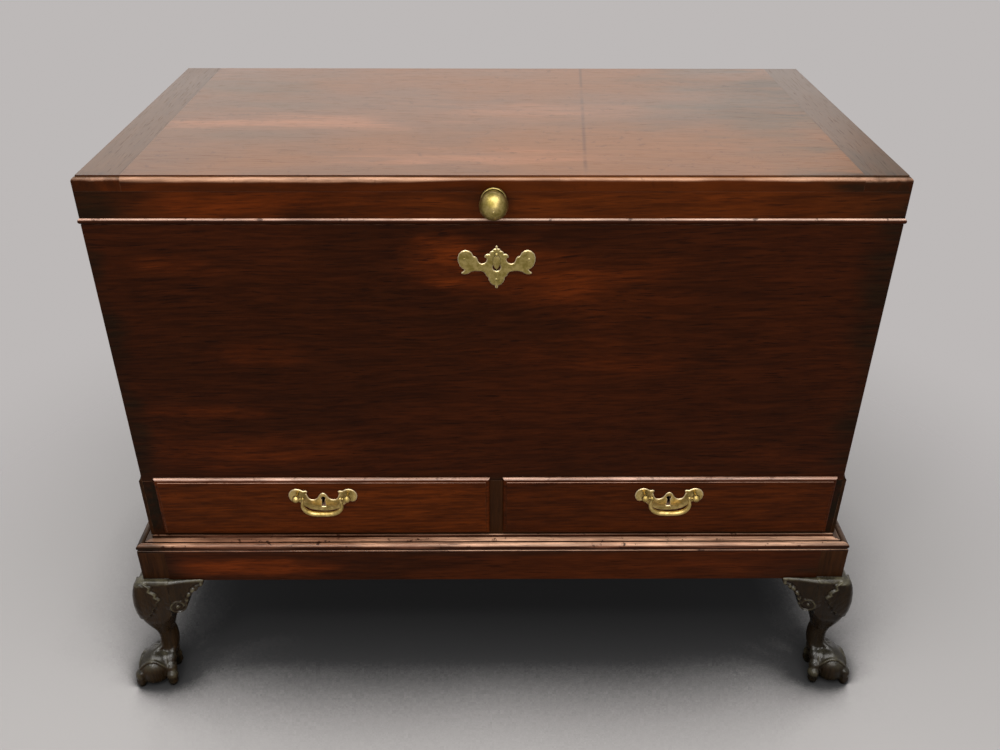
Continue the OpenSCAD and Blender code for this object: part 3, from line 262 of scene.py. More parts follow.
def timber(name, run, heart, dark, light, warm, worn_colour, rings=34, ring_depth=0.22, patch=0.6,
           lean=(0.0, 0.0, 0.0), wear=0.7, grime_and_shade=0.6, rough=0.36, gloss=0.05, wave=0.02, edge_width=0.0012,
           faded_and_lit=None, sheen=0.0, spots=(), rub_and_glint_colour=None, fibre=0.25, pores=0.55, nicks=0.0, crack=None):
    """A waxed wood.  Its grain runs along the axis run, but for the small angles of lean, and heart
    is a point on the tree's middle.  faded_and_lit holds the dark, light and warm tones of what faces up,
    paler from fading and rubbing and from painted light from above, and sheen is the wax there.  spots are
    (centre, radii, colour, strength), rub_and_glint_colour is the colour of what the carver's relief lifts to
    the hand, rubbed and painted as highlight, grime_and_shade is how much corners darken, from grime and
    painted shade, and crack is where a fine crack crosses Y = 0 and its slope."""
    material, tree = blank_material(name)
    place = add(tree, "TexCoord").outputs["Object"]
    angles = [a + b for a, b in zip(GRAIN_TURN[run], lean)]
    x_turn, y_turn, z_turn = (Matrix.Rotation(angle, 3, axis) for angle, axis in zip(angles, "XYZ"))
    middle = Vector(heart)
    middle.rotate(z_turn @ y_turn @ x_turn)
    along = add(tree, "Mapping", {"Vector": place, "Rotation": angles, "Location": -middle}).outputs[0]
    wood = add(tree, "Group", {"Place": along, "Ring Scale": rings, "Wave": wave}, node_tree=figure).outputs
    edges = add(tree, "Group", {"Place": place, "Width": edge_width}, node_tree=worn).outputs
    tones = dark, light, warm
    # What faces up takes the upper tones: paler from fading and rubbing, and painted lighter as light from above.
    if faded_and_lit:
        facing = add(tree, "TexCoord").outputs["Normal"]
        facing = ramp(tree, add(tree, "SeparateXYZ", {0: facing}).outputs["Z"], 0.25, 0.85)
        tones = [blend(tree, facing, under, upper) for under, upper in zip(tones, faded_and_lit)]
    colour = blend(tree, wood["Streaks"], tones[0], tones[1])
    colour = blend(tree, times(tree, wood["Patches"], patch), colour, tones[2])
    if spots:
        ragged = ramp(tree, noise(tree, along, 13, 4, 0.65, 0.22), 0.3, 0.7, -0.42, 0.42)
        streaked = ramp(tree, wood["Streaks"], 0.1, 0.8, 0.45, 1)
    for centre, radii, paint, strength in spots:
        apart = vector_math(tree, "DIVIDE", vector_math(tree, "SUBTRACT", place, centre), radii)
        apart = math_node(tree, "ADD", vector_math(tree, "LENGTH", apart), ragged)
        colour = blend(tree, times(tree, ramp(tree, apart, 1.0, 0.1, 0, strength), streaked), colour, paint)
    colour = blend(tree, times(tree, wood["Rings"], ring_depth), colour, [c * 0.5 for c in dark])
    threads = ramp(tree, wood["Fibre"], 0.3, 0.7, 1 - fibre, 1 + 0.8 * fibre)
    colour = vector_math(tree, "SCALE", colour, threads)
    colour = blend(tree, times(tree, wood["Pores"], pores), colour, [c * 0.25 for c in dark])
    # Darker into corners and creases, from ambient occlusion: grime and painted shade.
    colour = blend(tree, times(tree, edges["Grime And Shade"], grime_and_shade), colour, [c * 0.3 for c in dark])
    colour = blend(tree, times(tree, edges["Rubbed"], wear), colour, worn_colour)
    if nicks:
        dents = ramp(tree, noise(tree, place, 75, 3, 0.7), 0.6, 0.68, 0, nicks)
        colour = blend(tree, dents, colour, dark)
    if crack:
        across = add(tree, "SeparateXYZ", {0: place}).outputs
        line = math_node(tree, "SUBTRACT", across["X"], times(tree, across["Y"], crack[1]))
        line = math_node(tree, "ABSOLUTE", math_node(tree, "SUBTRACT", line, crack[0]))
        broken = ramp(tree, noise(tree, place, 22, 2, 0.6), 0.35, 0.6, 0.05, 0.42)
        colour = blend(tree, times(tree, ramp(tree, line, 0.004, 0.0004), broken), colour, dark)
    # Raised carving painted lighter: rubbed wear and painted highlight.
    if rub_and_glint_colour:
        lifted = add(tree, "Attribute", attribute_name="rub_and_glint").outputs["Fac"]
        uneven = ramp(tree, noise(tree, place, 70, 4, 0.65), 0.36, 0.62, 0.12, 1)
        colour = blend(tree, times(tree, lifted, uneven), colour, rub_and_glint_colour)
    shine = add(tree, "Math", {0: wood["Patches"], 1: 0.1, 2: rough}, operation="MULTIPLY_ADD").outputs[0]
    shine = math_node(tree, "ADD", shine, times(tree, wood["Pores"], 0.22))
    relief = math_node(tree, "SUBTRACT", times(tree, wood["Fibre"], 0.5), wood["Pores"])
    bump = add(tree, "Bump", {"Height": relief, "Strength": 0.35, "Distance": 0.0002, "Normal": edges["Normal"]})
    shader = add(tree, "BsdfPrincipled", {
        "Base Color": colour, "Roughness": shine, "Normal": bump.outputs[0], "Specular IOR Level": gloss,
        "Coat Roughness": 0.24})
    if sheen:
        tree.links.new(times(tree, facing, sheen), shader.inputs["Coat Weight"])
    add(tree, "OutputMaterial", {"Surface": shader.outputs[0]})
    return material


MM = 0.001
post_x, post_y, post_width = 0.559, 0.2855, 0.042
post_bottom, post_top = 0.18, 0.264


def at_mm(x, y, z):
    return Matrix.Translation(Vector((x, y, z)) * MM)


def join_rings(bm, loops):
    """Walls between rings of points that follow each other, and a face over each end"""
    for one, two in zip(loops, loops[1:]):
        walls = {e for loop in (one, two) for v in loop for e in v.link_edges if e.other_vert(v) in loop}
        bmesh.ops.bridge_loops(bm, edges=list(walls))
    for loop in (loops[0], loops[-1]):
        bmesh.ops.contextual_create(bm, geom=loop)


def one_skin(bm, size, smoothing):
    """A single closed skin over all the shapes in a bmesh, and its points and normals"""
    mesh = bpy.data.meshes.new("rough")
    bm.to_mesh(mesh)
    rough = placed("rough", mesh)
    cover = rough.modifiers.new("skin", "REMESH")
    cover.mode = "VOXEL"
    cover.voxel_size = size
    bpy.context.view_layer.update()
    whole = rough.evaluated_get(bpy.context.evaluated_depsgraph_get())
    bm.clear()
    bm.from_mesh(whole.to_mesh())
    bpy.data.objects.remove(rough)
    for _ in range(smoothing):
        bmesh.ops.smooth_vert(bm, verts=bm.verts, factor=0.5, use_axis_x=True, use_axis_y=True, use_axis_z=True)
    bm.normal_update()
    points = np.array([v.co for v in bm.verts]) / MM
    normals = np.array([v.normal for v in bm.verts])
    return points, normals


def note_rub_and_glint(bm, amount):
    """Keeps how much each point is lightened, by hands and dusters and as painted highlight, for the finish to read
    """
    layer = bm.verts.layers.float.new("rub_and_glint")
    for vert, value in zip(bm.verts, amount):
        vert[layer] = float(min(max(value, 0), 1))


def carved(name, bm, points, rub_and_glint):
    """A mesh of a bmesh whose points the carver has moved"""
    for vert, point in zip(bm.verts, points):
        vert.co = point * MM
    note_rub_and_glint(bm, rub_and_glint)
    return meshed(name, bm)


def step(value, low, high):
    """Smoothly 0 below low and 1 above high"""
    t = np.clip((value - low) / (high - low), 0, 1)
    return t * t * (3 - 2 * t)


def hump(value, centre, width):
    """1 at the centre, and soon 0 on both sides of it"""
    return np.exp(-((value - centre) / width) ** 2)


# The leg's sections: height, reach outwards and inwards from the post's outer corner, corner radius
sections = [
    (210.5, 6.9, -42, 4), (206, 13.0, -42, 8), (197, 16.0, -42, 9), (183, 18.6, -42, 10), (167, 19.8, -42, 11),
    (149, 18.8, -40, 12), (126, 14.3, -33, 13), (113, 10.5, -32, 14), (96, 4.6, -27.6, 15),
    (84, 2.4, -29.1, 15.6), (72, 1.6, -29.6, 15.4), (60, 2.6, -28.8, 15.5), (50, 5.6, -26.6, 16),
    (40, 12.6, -22.6, 17), (30, 19, -16, 17.4),
][::-1]
heights, outer_reach, inner_reach, corner_radii = zip(*sections)
leg_rings, bracket_corner = 62, 1.2  # the inner corners are nearly sharp where the brackets meet the leg
leg = bmesh.new()
loops = []
for z in np.linspace(heights[-1], heights[0], leg_rings):
    outer, inner, corner = (np.interp(z, heights, row) for row in (outer_reach, inner_reach, corner_radii))
    half, middle = (outer - inner) / 2, (outer + inner) / 2
    loop = bmesh.ops.create_circle(leg, segments=64, radius=1)["verts"]
    for vert in loop:
        x, y = vert.co.x, vert.co.y
        square = half / max(abs(x), abs(y))
        near_post = 1 - step(150 - z, 0, 25)
        round_here = corner if x > 0 and y > 0 else corner + (bracket_corner - corner) * near_post
        core = half - min(round_here, half * 0.995)
        over = Vector((max(abs(x) * square - core, 0), max(abs(y) * square - core, 0)))
        if over.x > 0 and over.y > 0:
            over *= (half - core) / over.length
        x = math.copysign(min(abs(x) * square, core) + over.x, x)
        y = math.copysign(min(abs(y) * square, core) + over.y, y)
        vert.co = ((middle + x) * MM, (middle + y) * MM, z * MM)
    loops.append(loop)
join_rings(leg, loops)
bmesh.ops.recalc_face_normals(leg, faces=leg.faces)

# The ball, worn flat where it stands
foot_out, foot_reach = 7, 37.6
ball_at, ball_r = Vector((10.9, 10.9, 26.6)), 26.6
ball = bmesh.ops.create_uvsphere(leg, u_segments=48, v_segments=48, radius=ball_r * MM,
                                 matrix=at_mm(*ball_at))["verts"]
for vert in ball:
    low = (ball_at.z - vert.co.z / MM) / ball_r
    if 0 < low < 0.999:
        fuller = math.sqrt((1 - low ** 5) / (1 - low ** 2))
        vert.co.x = ball_at.x * MM + (vert.co.x - ball_at.x * MM) * fuller
        vert.co.y = ball_at.y * MM + (vert.co.y - ball_at.y * MM) * fuller


# The web over the ball, cut off along round arches between the talons, with a thick rim
def from_front(heading):
    """Degrees between a heading and the front talon, which points along the leg's diagonal"""
    return abs((heading - 45 + 180) % 360 - 180)


# The middle of the gap between the front and a side talon, the side talon, the middle of the gap
# between it and the rear talon, in degrees from the front one, and how much narrower that gap is
front_gap, side_talon, rear_gap, rear_scale = 49, 98, 139, 1.195


def arch(off_front):
    """The height of the web's rim at some degrees from the front talon"""
    off = abs(off_front - front_gap) if off_front < side_talon else abs(off_front - rear_gap) * rear_scale
    return ball_r * (1 + math.sin(math.radians(58 - 46.5 * min(off / front_gap, 1) ** 2.6)))


web_out, web_z, web_wide, web_tall, rim_wide, rim_r = 9, 30, 28.6, 26, 28.2, 2.3
web = bmesh.ops.create_uvsphere(leg, u_segments=96, v_segments=64, radius=MM)["verts"]
for vert in web:
    rim = arch(from_front(math.degrees(math.atan2(vert.co.y, vert.co.x))))
    x, y, z = vert.co.x / MM * web_wide, vert.co.y / MM * web_wide, web_z + vert.co.z / MM * web_tall
    if z < rim:
        shrink = math.sqrt(1 - ((rim - web_z) / web_tall) ** 2)
        shrink /= 1 if vert.co.z < 0 else math.hypot(x, y) / web_wide
        x, y, z = x * shrink, y * shrink, rim
    vert.co = ((web_out + x) * MM, (web_out + y) * MM, z * MM)
for heading in range(-180, 180, 3):
    rim = arch(from_front(heading))
    wide = rim_wide * math.sqrt(max(1 - ((rim - web_z) / web_tall) ** 2, 0))
    a = math.radians(heading)
    at = at_mm(web_out + wide * math.cos(a), web_out + wide * math.sin(a), rim + 1)
    bmesh.ops.create_icosphere(leg, subdivisions=2, radius=rim_r * MM, matrix=at)

# Four talons of knuckles and claws: reach out and sideways in the leg's diagonal, height, radius
talons = [
    [(-17.1, 0, 60, 6), (4, 0, 47, 9.6), (19, 0, 35.5, 10), (30.6, 0, 24, 10.2), (33.6, 0, 11, 8.8),
     (33, 0, 4, 7.4)],
    [(-36, 0, 58, 6), (-32, 0, 40, 9.2), (-33.6, 0, 22, 9.2), (-35.2, 0, 11, 8), (-33, 0, 4, 6.8)],
] + [
    [(-27.7, 10.6 * s, 55, 6), (-15.7, 19 * s, 41, 9.6), (-9.4, 27 * s, 31, 10), (-5.6, 33.8 * s, 20, 10.2),
     (-5, 34.6 * s, 10, 8.8), (-5, 33.4 * s, 4, 7.4)] for s in (-1, 1)
]
diagonal = at_mm(foot_out, foot_out, 0) @ Matrix.Rotation(math.radians(45), 4, "Z")
for talon in talons:
    talon = np.array(talon, float)
    for i in range(len(talon) - 1):
        before, here, there, after = (talon[min(max(i + k, 0), len(talon) - 1)] for k in (-1, 0, 1, 2))
        for t in np.arange(0, 1, 0.1):
            joint = 0.5 * (2 * here + (there - before) * t + (2 * before - 5 * here + 4 * there - after) * t * t
                           + (3 * here - before - 3 * there + after) * t ** 3)
            radius = joint[3] * (0.89 + 0.13 * math.cos(2 * math.pi * t))
            bmesh.ops.create_icosphere(leg, subdivisions=2, radius=radius * MM, matrix=diagonal @ at_mm(*joint[:3]))
points, normals = one_skin(leg, size=0.0013, smoothing=5)

# Carving on the knee: a leaf with a scalloped raised edge lies over its outer corner
leaf_z = [132, 140, 146, 155, 164, 172, 179, 185, 189, 194, 203, 209, 214]
leaf_s = [-22, -4, 5, 10, 15.5, 20, 23.5, 21, 18, 13, 10.5, 4.5, 0]
inward = -np.minimum(points[:, 0], points[:, 1])
outward = np.maximum(points[:, 0], points[:, 1])
high = points[:, 2]
border = np.interp(high, leaf_z, leaf_s) + 4.2 * np.abs(np.sin(high * 0.27 + 0.4)) - 2.1
inside = border - inward
knee = step(high, 128, 140) * (1 - step(high, 206, 210)) * step(outward, -4, 4)
lift = 2.4 * step(inside, -0.8, 1.0) - 1.4 * hump(inside, -2.2, 1.6) + 1.0 * hump(inside, 1.8, 1.3)
share = np.clip((inward + 20) / np.maximum(border + 20, 1), 0, 1)
veins = np.abs(np.sin((high + 34 * share) * math.pi / 10.5))
lift -= 0.7 * hump(veins, 0, 0.22) * step(inside, 1.5, 4) * step(share, 0.12, 0.4)
lift -= 0.5 * hump(share, 0.12, 0.06) * step(inside, 3, 6)
points += normals * (knee * (lift - 1.0))[:, None]
# The knee's faces fall back a little towards the brackets
flank = step(high, 128, 150) * (1 - step(high, 200, 207)) * step(outward, 4, 10)
sink = 5.5 * np.clip((inward + 12) / 54, 0, 1) ** 2 * flank
facing = normals / np.maximum(np.linalg.norm(normals[:, :2], axis=1), 0.3)[:, None]
points[:, 0] -= sink * (points[:, 0] > points[:, 1]) * step(facing[:, 0], 0.2, 0.8)
points[:, 1] -= sink * (points[:, 1] >= points[:, 0]) * step(facing[:, 1], 0.2, 0.8)
# Creases across the talons' knuckles, and a groove under the web's rim
foot = 1 - step(high, 34, 46)
away = np.hypot(points[:, 0] - foot_out, points[:, 1] - foot_out)
points -= normals * (0.7 * (foot * step(away, 30, 34) * hump(high, 11.5, 0.9)))[:, None]
headings = from_front(np.degrees(np.arctan2(points[:, 1] - web_out, points[:, 0] - web_out)))
over_rim = high - np.array([arch(heading) for heading in headings])
on_ball = 1 - step(np.linalg.norm(points - ball_at, axis=1), ball_r + 0.6, ball_r + 2.4)
points -= normals * (1.5 * on_ball * hump(over_rim, -2.2, 1.5))[:, None]
# Nothing stands out past the CAD's foot or below the floor
points[:, :2] = np.minimum(points[:, :2], foot_reach)
points[:, 2] = np.maximum(points[:, 2], 0)
# Hands and dusters reach the leaf's edge, the ledge, the ball, the web's rim and the knuckles,
# which are painted lighter for that wear and as painted highlights
from_ball = np.linalg.norm(points - ball_at, axis=1)
rub_and_glint = knee * hump(inside, 1.2, 1.5) * step(high, 165, 190)
rub_and_glint += 0.6 * step(high, 203.5, 206) * (outward > 1)
rub_and_glint += 0.22 * (1 - step(from_ball, ball_r + 0.4, ball_r + 1)) * step(high, 30, 46)
rub_and_glint += 0.4 * hump(over_rim, 2, 2.2) * step(high, 30, 44) * (1 - step(from_ball, ball_r + 5, ball_r + 9))
rub_and_glint += 0.35 * step(away, 35, 39) * step(high, 16, 24) * foot
carved_leg = carved("carved_leg", leg, points, rub_and_glint)

# ------------------------ knee brackets
# Blocks glued under the rails beside each knee, carved with it: a rounded ledge,
# a lobed lower edge with a raised fringe, and a scroll where they meet the leg.
bracket = bmesh.new()
ledge_z, bracket_back, bracket_front = 207, -22, 4
lobes = [(-14, 0), (-95.5, 0), (-94.5, -6), (-91, -9.6), (-87.5, -10.2), (-85.5, -12), (-84.4, -16), (-81.5, -18.3),
         (-78, -18.8), (-75.6, -22), (-74, -25), (-70, -28), (-68.4, -32), (-67.4, -36), (-66, -41),
         (-64.4, -48), (-61.5, -54), (-56, -58.4), (-49, -60), (-42, -57.6), (-34, -52), (-14, -28)]
bracket.faces.new([bracket.verts.new((x * MM, bracket_front * MM, (ledge_z + z) * MM)) for x, z in lobes])
pushed = bmesh.ops.extrude_face_region(bracket, geom=bracket.faces[:])["geom"]
bmesh.ops.translate(bracket, verts=[g for g in pushed if isinstance(g, bmesh.types.BMVert)],
                    vec=(0, (bracket_back - bracket_front) * MM, 0))
bmesh.ops.recalc_face_normals(bracket, faces=bracket.faces)
points, normals = one_skin(bracket, size=0.0011, smoothing=2)
x, y, z = points.T.copy()

# Its front follows the knee's face beside the leg, and thins towards the tip
reach = np.maximum(np.interp(z, heights, outer_reach), 15.5)
along = np.clip((-x - 42) / 53.5, 0, 1)
knee_face = reach - 5.5 * np.clip((12 - x) / 54, 0, 1) ** 2 + 1.0 - 4 * step(x, -39, -22)
face = np.where(x > -42, knee_face, 3.6 + (reach - 4.5 - 3.6) * (1 - along) ** 1.4)
ledge = np.sqrt(np.clip(1 - (np.clip(z - 201, 0, 6) / 7.2) ** 2, 0.1, 1))
front = (y - bracket_back) / (bracket_front - bracket_back)

# How close each point is to the lobed edge, and how far along that edge
edge_x, edge_z = np.array(lobes[1:-1]).T
edge_z = edge_z + ledge_z
close = np.full(len(x), 99.0)
travel = np.zeros(len(x))
walked = 0.0
for i in range(1, len(edge_x) - 1):
    step_x, step_z = edge_x[i + 1] - edge_x[i], edge_z[i + 1] - edge_z[i]
    length = math.hypot(step_x, step_z)
    t = np.clip(((x - edge_x[i]) * step_x + (z - edge_z[i]) * step_z) / length ** 2, 0, 1)
    gap = np.hypot(x - edge_x[i] - t * step_x, z - edge_z[i] - t * step_z)
    travel = np.where(gap < close, walked + t * length, travel)
    close = np.minimum(close, gap)
    walked += length

# The fringe, the scroll with its eye, and a vein
scroll_mid_x, scroll_mid_z = -50.5, 161
scroll_x, scroll_z = x - scroll_mid_x, z - scroll_mid_z
turn_r = np.hypot(scroll_x, scroll_z)
turn_a = np.arctan2(scroll_z, scroll_x)
fringe_width = 4.6 + 1.3 * np.sin(travel * 0.62)
away_from_scroll = step(turn_r, 11, 14)
relief = 1.8 * (1 - step(close, fringe_width - 0.8, fringe_width + 0.8))
relief -= 1.5 * hump(close - fringe_width, 1.6, 1.2)
relief = relief * away_from_scroll * (1 - step(z, 201, 205)) * (1 - step(x, -52, -45))
spiral = turn_r - (8.6 - 2.2 * turn_a / math.pi)
groove = -1.9 * hump(spiral, 0, 1.25) - 1.3 * hump(turn_r, 3.7, 0.9)
eye_boss = 1.2 * (1 - step(turn_r, 2.2, 3.8))
scroll_rim = 1.0 * (1 - step(turn_r, 11.5, 13.5)) + 0.7 * hump(spiral, 2.6, 1.3)
relief += (groove * (turn_r < 12) + eye_boss + scroll_rim) * (1 - step(turn_r, 12.5, 14.5))
vein = hump(close - 12, 3 * np.sin(travel * 0.14), 1.6)
relief -= 0.8 * vein * away_from_scroll * step(close, 8, 10) * (1 - step(z, 190, 198))
points[:, 1] = bracket_back + front * (face * ledge - bracket_back) + relief * step(front, 0.82, 0.97)
points[:, 2] += 2.6 * step(points[:, 1], 0.3, 1.0) * step(z, 200, 206.5)
# The fringe's lobes, the ledge and the scroll are painted lighter: rubbed wear and painted highlight.
rub_and_glint = 0.8 * (1 - step(close, fringe_width - 1.5, fringe_width)) * step(np.sin(travel * 0.62), -0.2, 0.7)
rub_and_glint = rub_and_glint * away_from_scroll * (front > 0.9) * (1 - step(x, -58, -52))
rub_and_glint += (0.35 + 0.5 * step(-x, 70, 90)) * step(z, 203.5, 205.5) * (points[:, 1] > 1)
rub_and_glint += (eye_boss * 0.5 + 0.7 * hump(spiral, 2.6, 1.3)) * (turn_r < 11.5) * (front > 0.9)
carved_bracket = carved("carved_bracket", bracket, points, rub_and_glint)


def at_corner(bm, side, end, swapped):
    """Takes a mesh from the leg's own frame to its corner of the stand"""
    place = Matrix.Translation((side * post_x, end * post_y, 0)) @ Matrix.Diagonal((side, end, 1, 1))
    if swapped:
        place = place @ Matrix(((0, 1, 0, 0), (1, 0, 0, 0), (0, 0, 1, 0), (0, 0, 0, 1)))
    bmesh.ops.transform(bm, matrix=place, verts=bm.verts)
    if place.determinant() < 0:
        bmesh.ops.reverse_faces(bm, faces=bm.faces)


def finished(name, bm, body, node, slot, *materials, sharp=32):
    """Turns a bmesh into a piece that rides on its body and stands for its CAD node.
    Edges that turn by more than sharp degrees stay crisp."""
    for edge in bm.edges:
        edge.smooth = not (edge.is_manifold and edge.calc_face_angle() > math.radians(sharp))
    for face in bm.faces:
        face.smooth = True
    made = placed(name, meshed(name, bm))
    for material in materials:
        made.data.materials.append(material)
    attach(made, body)
    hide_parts(node)


leg_tones = dict(dark=(0.0062, 0.0036, 0.0013), light=(0.0155, 0.0088, 0.003), warm=(0.027, 0.0125, 0.0036),
                 worn_colour=(0.17, 0.145, 0.09))
# Lighter olive tones for the legs' upward faces: partly painted light from above.
foot_tones = ((0.009, 0.0078, 0.0045), (0.019, 0.0165, 0.01), (0.03, 0.0255, 0.016))
# The feet darken towards the floor; the knee's raised carving is lighter, as rubbed wear and painted highlight.
foot_darkening, knee_rub_and_glint = (0.0075, 0.0068, 0.0036), (0.1, 0.088, 0.052)
post_tones = dict(dark=(0.012, 0.005, 0.0016), light=(0.024, 0.0085, 0.0024), warm=(0.036, 0.0115, 0.003),
                  worn_colour=(0.12, 0.06, 0.03))


# Tones scaled by a factor, for painted light and shade on copies of one finish.
def shaded(tones, shade):
    return {part: tuple(c * shade for c in tone) for part, tone in tones.items()}


# The right-hand legs are painted darker: painted shade.
for side_name, side, shade in (("left", -1, 1), ("right", 1, 0.65)):
    for end_name, end in (("front", -1), ("rear", 1)):
        corner = f"{end_name}_{side_name}"
        heart = (side * 0.5, end * 0.22, 0)
        # Upward faces take the lighter foot tones, partly painted light from above, and the feet darken towards the
        # floor.
        leg_finish = timber(
            f"blackened_leg_{corner}", "z", heart, rings=30, ring_depth=0.2, rough=0.17, gloss=0.13, wear=0.8,
            edge_width=0.0022, grime_and_shade=0.8, rub_and_glint_colour=knee_rub_and_glint, faded_and_lit=foot_tones, sheen=0.7,
            spots=[((side * 0.56, end * 0.29, 0.0), (0.075, 0.075, 0.1), foot_darkening, 0.95)],
            **shaded(leg_tones, shade))
        post_finish = timber(f"post_{corner}", "z", heart, rings=30, **post_tones)
        bm = bmesh.new()
        bmesh.ops.create_cube(bm, size=1)
        bmesh.ops.scale(bm, verts=bm.verts, vec=(post_width, post_width, post_top - post_bottom))
        bmesh.ops.translate(bm, verts=bm.verts,
                            vec=(-post_width / 2, -post_width / 2, (post_top + post_bottom) / 2))
        bmesh.ops.bevel(bm, geom=bm.edges[:], offset=0.0006, segments=2, affect="EDGES", profile=0.5, material=-1)
        for face in bm.faces:
            face.material_index = 1
        bm.from_mesh(carved_leg)
        at_corner(bm, side, end, False)
        finished(f"leg_{corner}_carved", bm, "stand_and_case", f"leg_{corner}", "dark_legs", leg_finish,
                 post_finish, sharp=70)
        for along_name, swapped in (("x", False), ("y", True)):
            if end_name == "rear" and not swapped:
                continue
            bm = bmesh.new()
            bm.from_mesh(carved_bracket)
            at_corner(bm, side, end, swapped)
            bracket_node = f"brackets_{corner}" if end_name == "front" else f"bracket_{corner}"
            finished(f"bracket_{corner}_{along_name}", bm, "stand_and_case", bracket_node, "dark_legs",
                     leg_finish, sharp=70)


# ------------------------ stand rails
# Four mahogany boards tenoned into the posts carry the case.  The front one is
# the apron, darker towards its ends, with painted shade along its top under the
# moulding, and rubbed to orange on the left.
def dress(material, *names):
    """Gives CAD nodes a finish"""
    for name in names:
        nodes[name].data.materials.clear()
        nodes[name].data.materials.append(material)


def stains(colour, y, deep, *marks):
    """Spots on a front: each mark is its x and z, half its width and height, and its strength"""
    return [((x, y, z), (wide, deep, high), colour, strength) for x, z, wide, high, strength in marks]


front_tones = dict(dark=(0.0185, 0.0043, 0.001), light=(0.026, 0.0056, 0.0011), warm=(0.042, 0.0079, 0.0012),
                   worn_colour=(0.22, 0.105, 0.055))
apron_tones = dict(front_tones, light=(0.036, 0.0076, 0.0012), warm=(0.06, 0.0115, 0.0015))
orange = (0.1, 0.0175, 0.002)
# A dark tone for patches where the wood is painted darker; each use says where.
darkening = (0.0075, 0.0045, 0.0018)
apron_y = -0.285
apron_spots = stains(orange, apron_y, 0.05, (-0.38, 0.236, 0.16, 0.024, 0.95), (-0.47, 0.24, 0.06, 0.03, 0.4),
                     (0.3, 0.24, 0.14, 0.02, 0.35))
# Painted shade in a thin band along the top under the moulding, and darker towards both ends.
apron_spots += stains(darkening, apron_y, 0.05, (0, 0.262, 0.5, 0.008, 0.6), (-0.54, 0.236, 0.06, 0.08, 0.8),
                      (0.54, 0.236, 0.12, 0.08, 0.9))
dress(timber("apron", "x", (0.1, -0.21, 0.22), lean=(0, 0.015, 0.01), rings=26, wear=0.1, spots=apron_spots,
             **apron_tones), "stand_front_rail")
dress(timber("stand_sides", "y", (0.5, 0.05, 0.23), lean=(0, 0.01, 0.01), rings=26, **front_tones),
      "stand_side_rails")
dress(timber("stand_back", "x", (0.1, 0.21, 0.22), **front_tones), "stand_back_rail")

# ------------------------ moulding
# A stepped mahogany moulding with a round nose and a small bead, glued on the
# rails and mitred round the front corners.  Its upper faces are paler, rubbed and
# painted as highlight, the front's far paler than the sides', and it darkens towards both ends.
# Upper tones: the front's are rubbed wear and painted highlight, the sides' are plain and dark.
front_moulding_tones = ((0.15, 0.056, 0.028), (0.56, 0.29, 0.172), (0.78, 0.47, 0.31))
side_moulding_tones = ((0.04, 0.025, 0.015), (0.12, 0.07, 0.045), (0.2, 0.11, 0.07))
brown = (0.14, 0.055, 0.03)
nose_y = -0.29
# Darker towards both ends, with brown patches along the nose.
moulding_spots = stains(darkening, nose_y, 0.06, (-0.56, 0.28, 0.08, 0.08, 0.9), (0.56, 0.28, 0.16, 0.08, 0.95))
moulding_spots += stains(brown, nose_y, 0.06, (-0.4, 0.28, 0.12, 0.05, 0.8))
moulding_spots += stains(brown, -0.28, 0.03, (-0.12, 0.29, 0.07, 0.03, 0.7))
moulding_spots += stains(brown, nose_y, 0.06, (0.16, 0.28, 0.09, 0.05, 0.6), (0.36, 0.28, 0.12, 0.05, 0.8))
for run, faded_and_lit, moulding_nodes in (
    ("x", front_moulding_tones, ["moulding_front"]),
    ("y", side_moulding_tones, ["moulding_left", "moulding_right"]),
):
    dress(timber(f"moulding_{run}", run, (0, -0.2, 0.24), wear=0.5, rough=0.25, edge_width=0.002, faded_and_lit=faded_and_lit,
                 sheen=0.4, fibre=0.35, nicks=0.9, spots=moulding_spots, **front_tones), *moulding_nodes)

# ------------------------ case
# Wide mahogany boards glued up into a box, with plainer wood behind and below.
# The front is rubbed to orange round the lock, and darker at its ends and along the tops of the drawers.
front_y = -0.2615
front_spots = stains(
    orange, front_y, 0.05,
    (0.03, 0.752, 0.14, 0.06, 0.55), (0.15, 0.735, 0.17, 0.045, 0.42), (-0.06, 0.755, 0.07, 0.055, 0.95),
    (0.06, 0.7, 0.12, 0.04, 0.25), (-0.44, 0.745, 0.1, 0.022, 0.32), (-0.33, 0.61, 0.07, 0.03, 0.22),
    (-0.35, 0.45, 0.2, 0.045, 0.36), (-0.42, 0.51, 0.14, 0.014, 0.32), (0.16, 0.6, 0.18, 0.05, 0.26),
    (0.42, 0.43, 0.1, 0.03, 0.2), (-0.3, 0.425, 0.24, 0.03, 0.3), (0.2, 0.69, 0.2, 0.035, 0.18))
# Darker towards both ends and along the tops of the drawers.
front_spots += stains(darkening, front_y, 0.05, (-0.535, 0.6, 0.035, 0.5, 0.8), (0.535, 0.6, 0.05, 0.5, 0.8),
                      (0, 0.39, 0.7, 0.016, 0.6))
dress(timber("front_board", "x", (0.05, -0.19, 0.52), lean=(0, 0.03, 0.02), rings=26, wave=0.03, patch=0.4,
             fibre=0.3, pores=0.7, spots=front_spots, **front_tones), "case_front")
for side_name, side in (("left", -1), ("right", 1)):
    # Darker at the front corners of the sides.
    corner_darkening = stains(darkening, front_y, 0.08, (side * 0.535, 0.335, 0.07, 0.14, 1.0),
                         (side * 0.535, 0.335, 0.07, 0.12, 1.0))
    dress(timber(f"side_board_{side_name}", "y", (side * 0.46, 0.05, 0.6), lean=(0.01, 0.02, 0.0), rings=24,
                 wave=0.03, spots=corner_darkening, **front_tones), f"case_side_{side_name}")
    dress(timber(f"side_step_wood_{side_name}", "y", (side * 0.5, 0.05, 0.3), rings=24, wear=0.1, **post_tones),
          f"side_step_{side_name}")
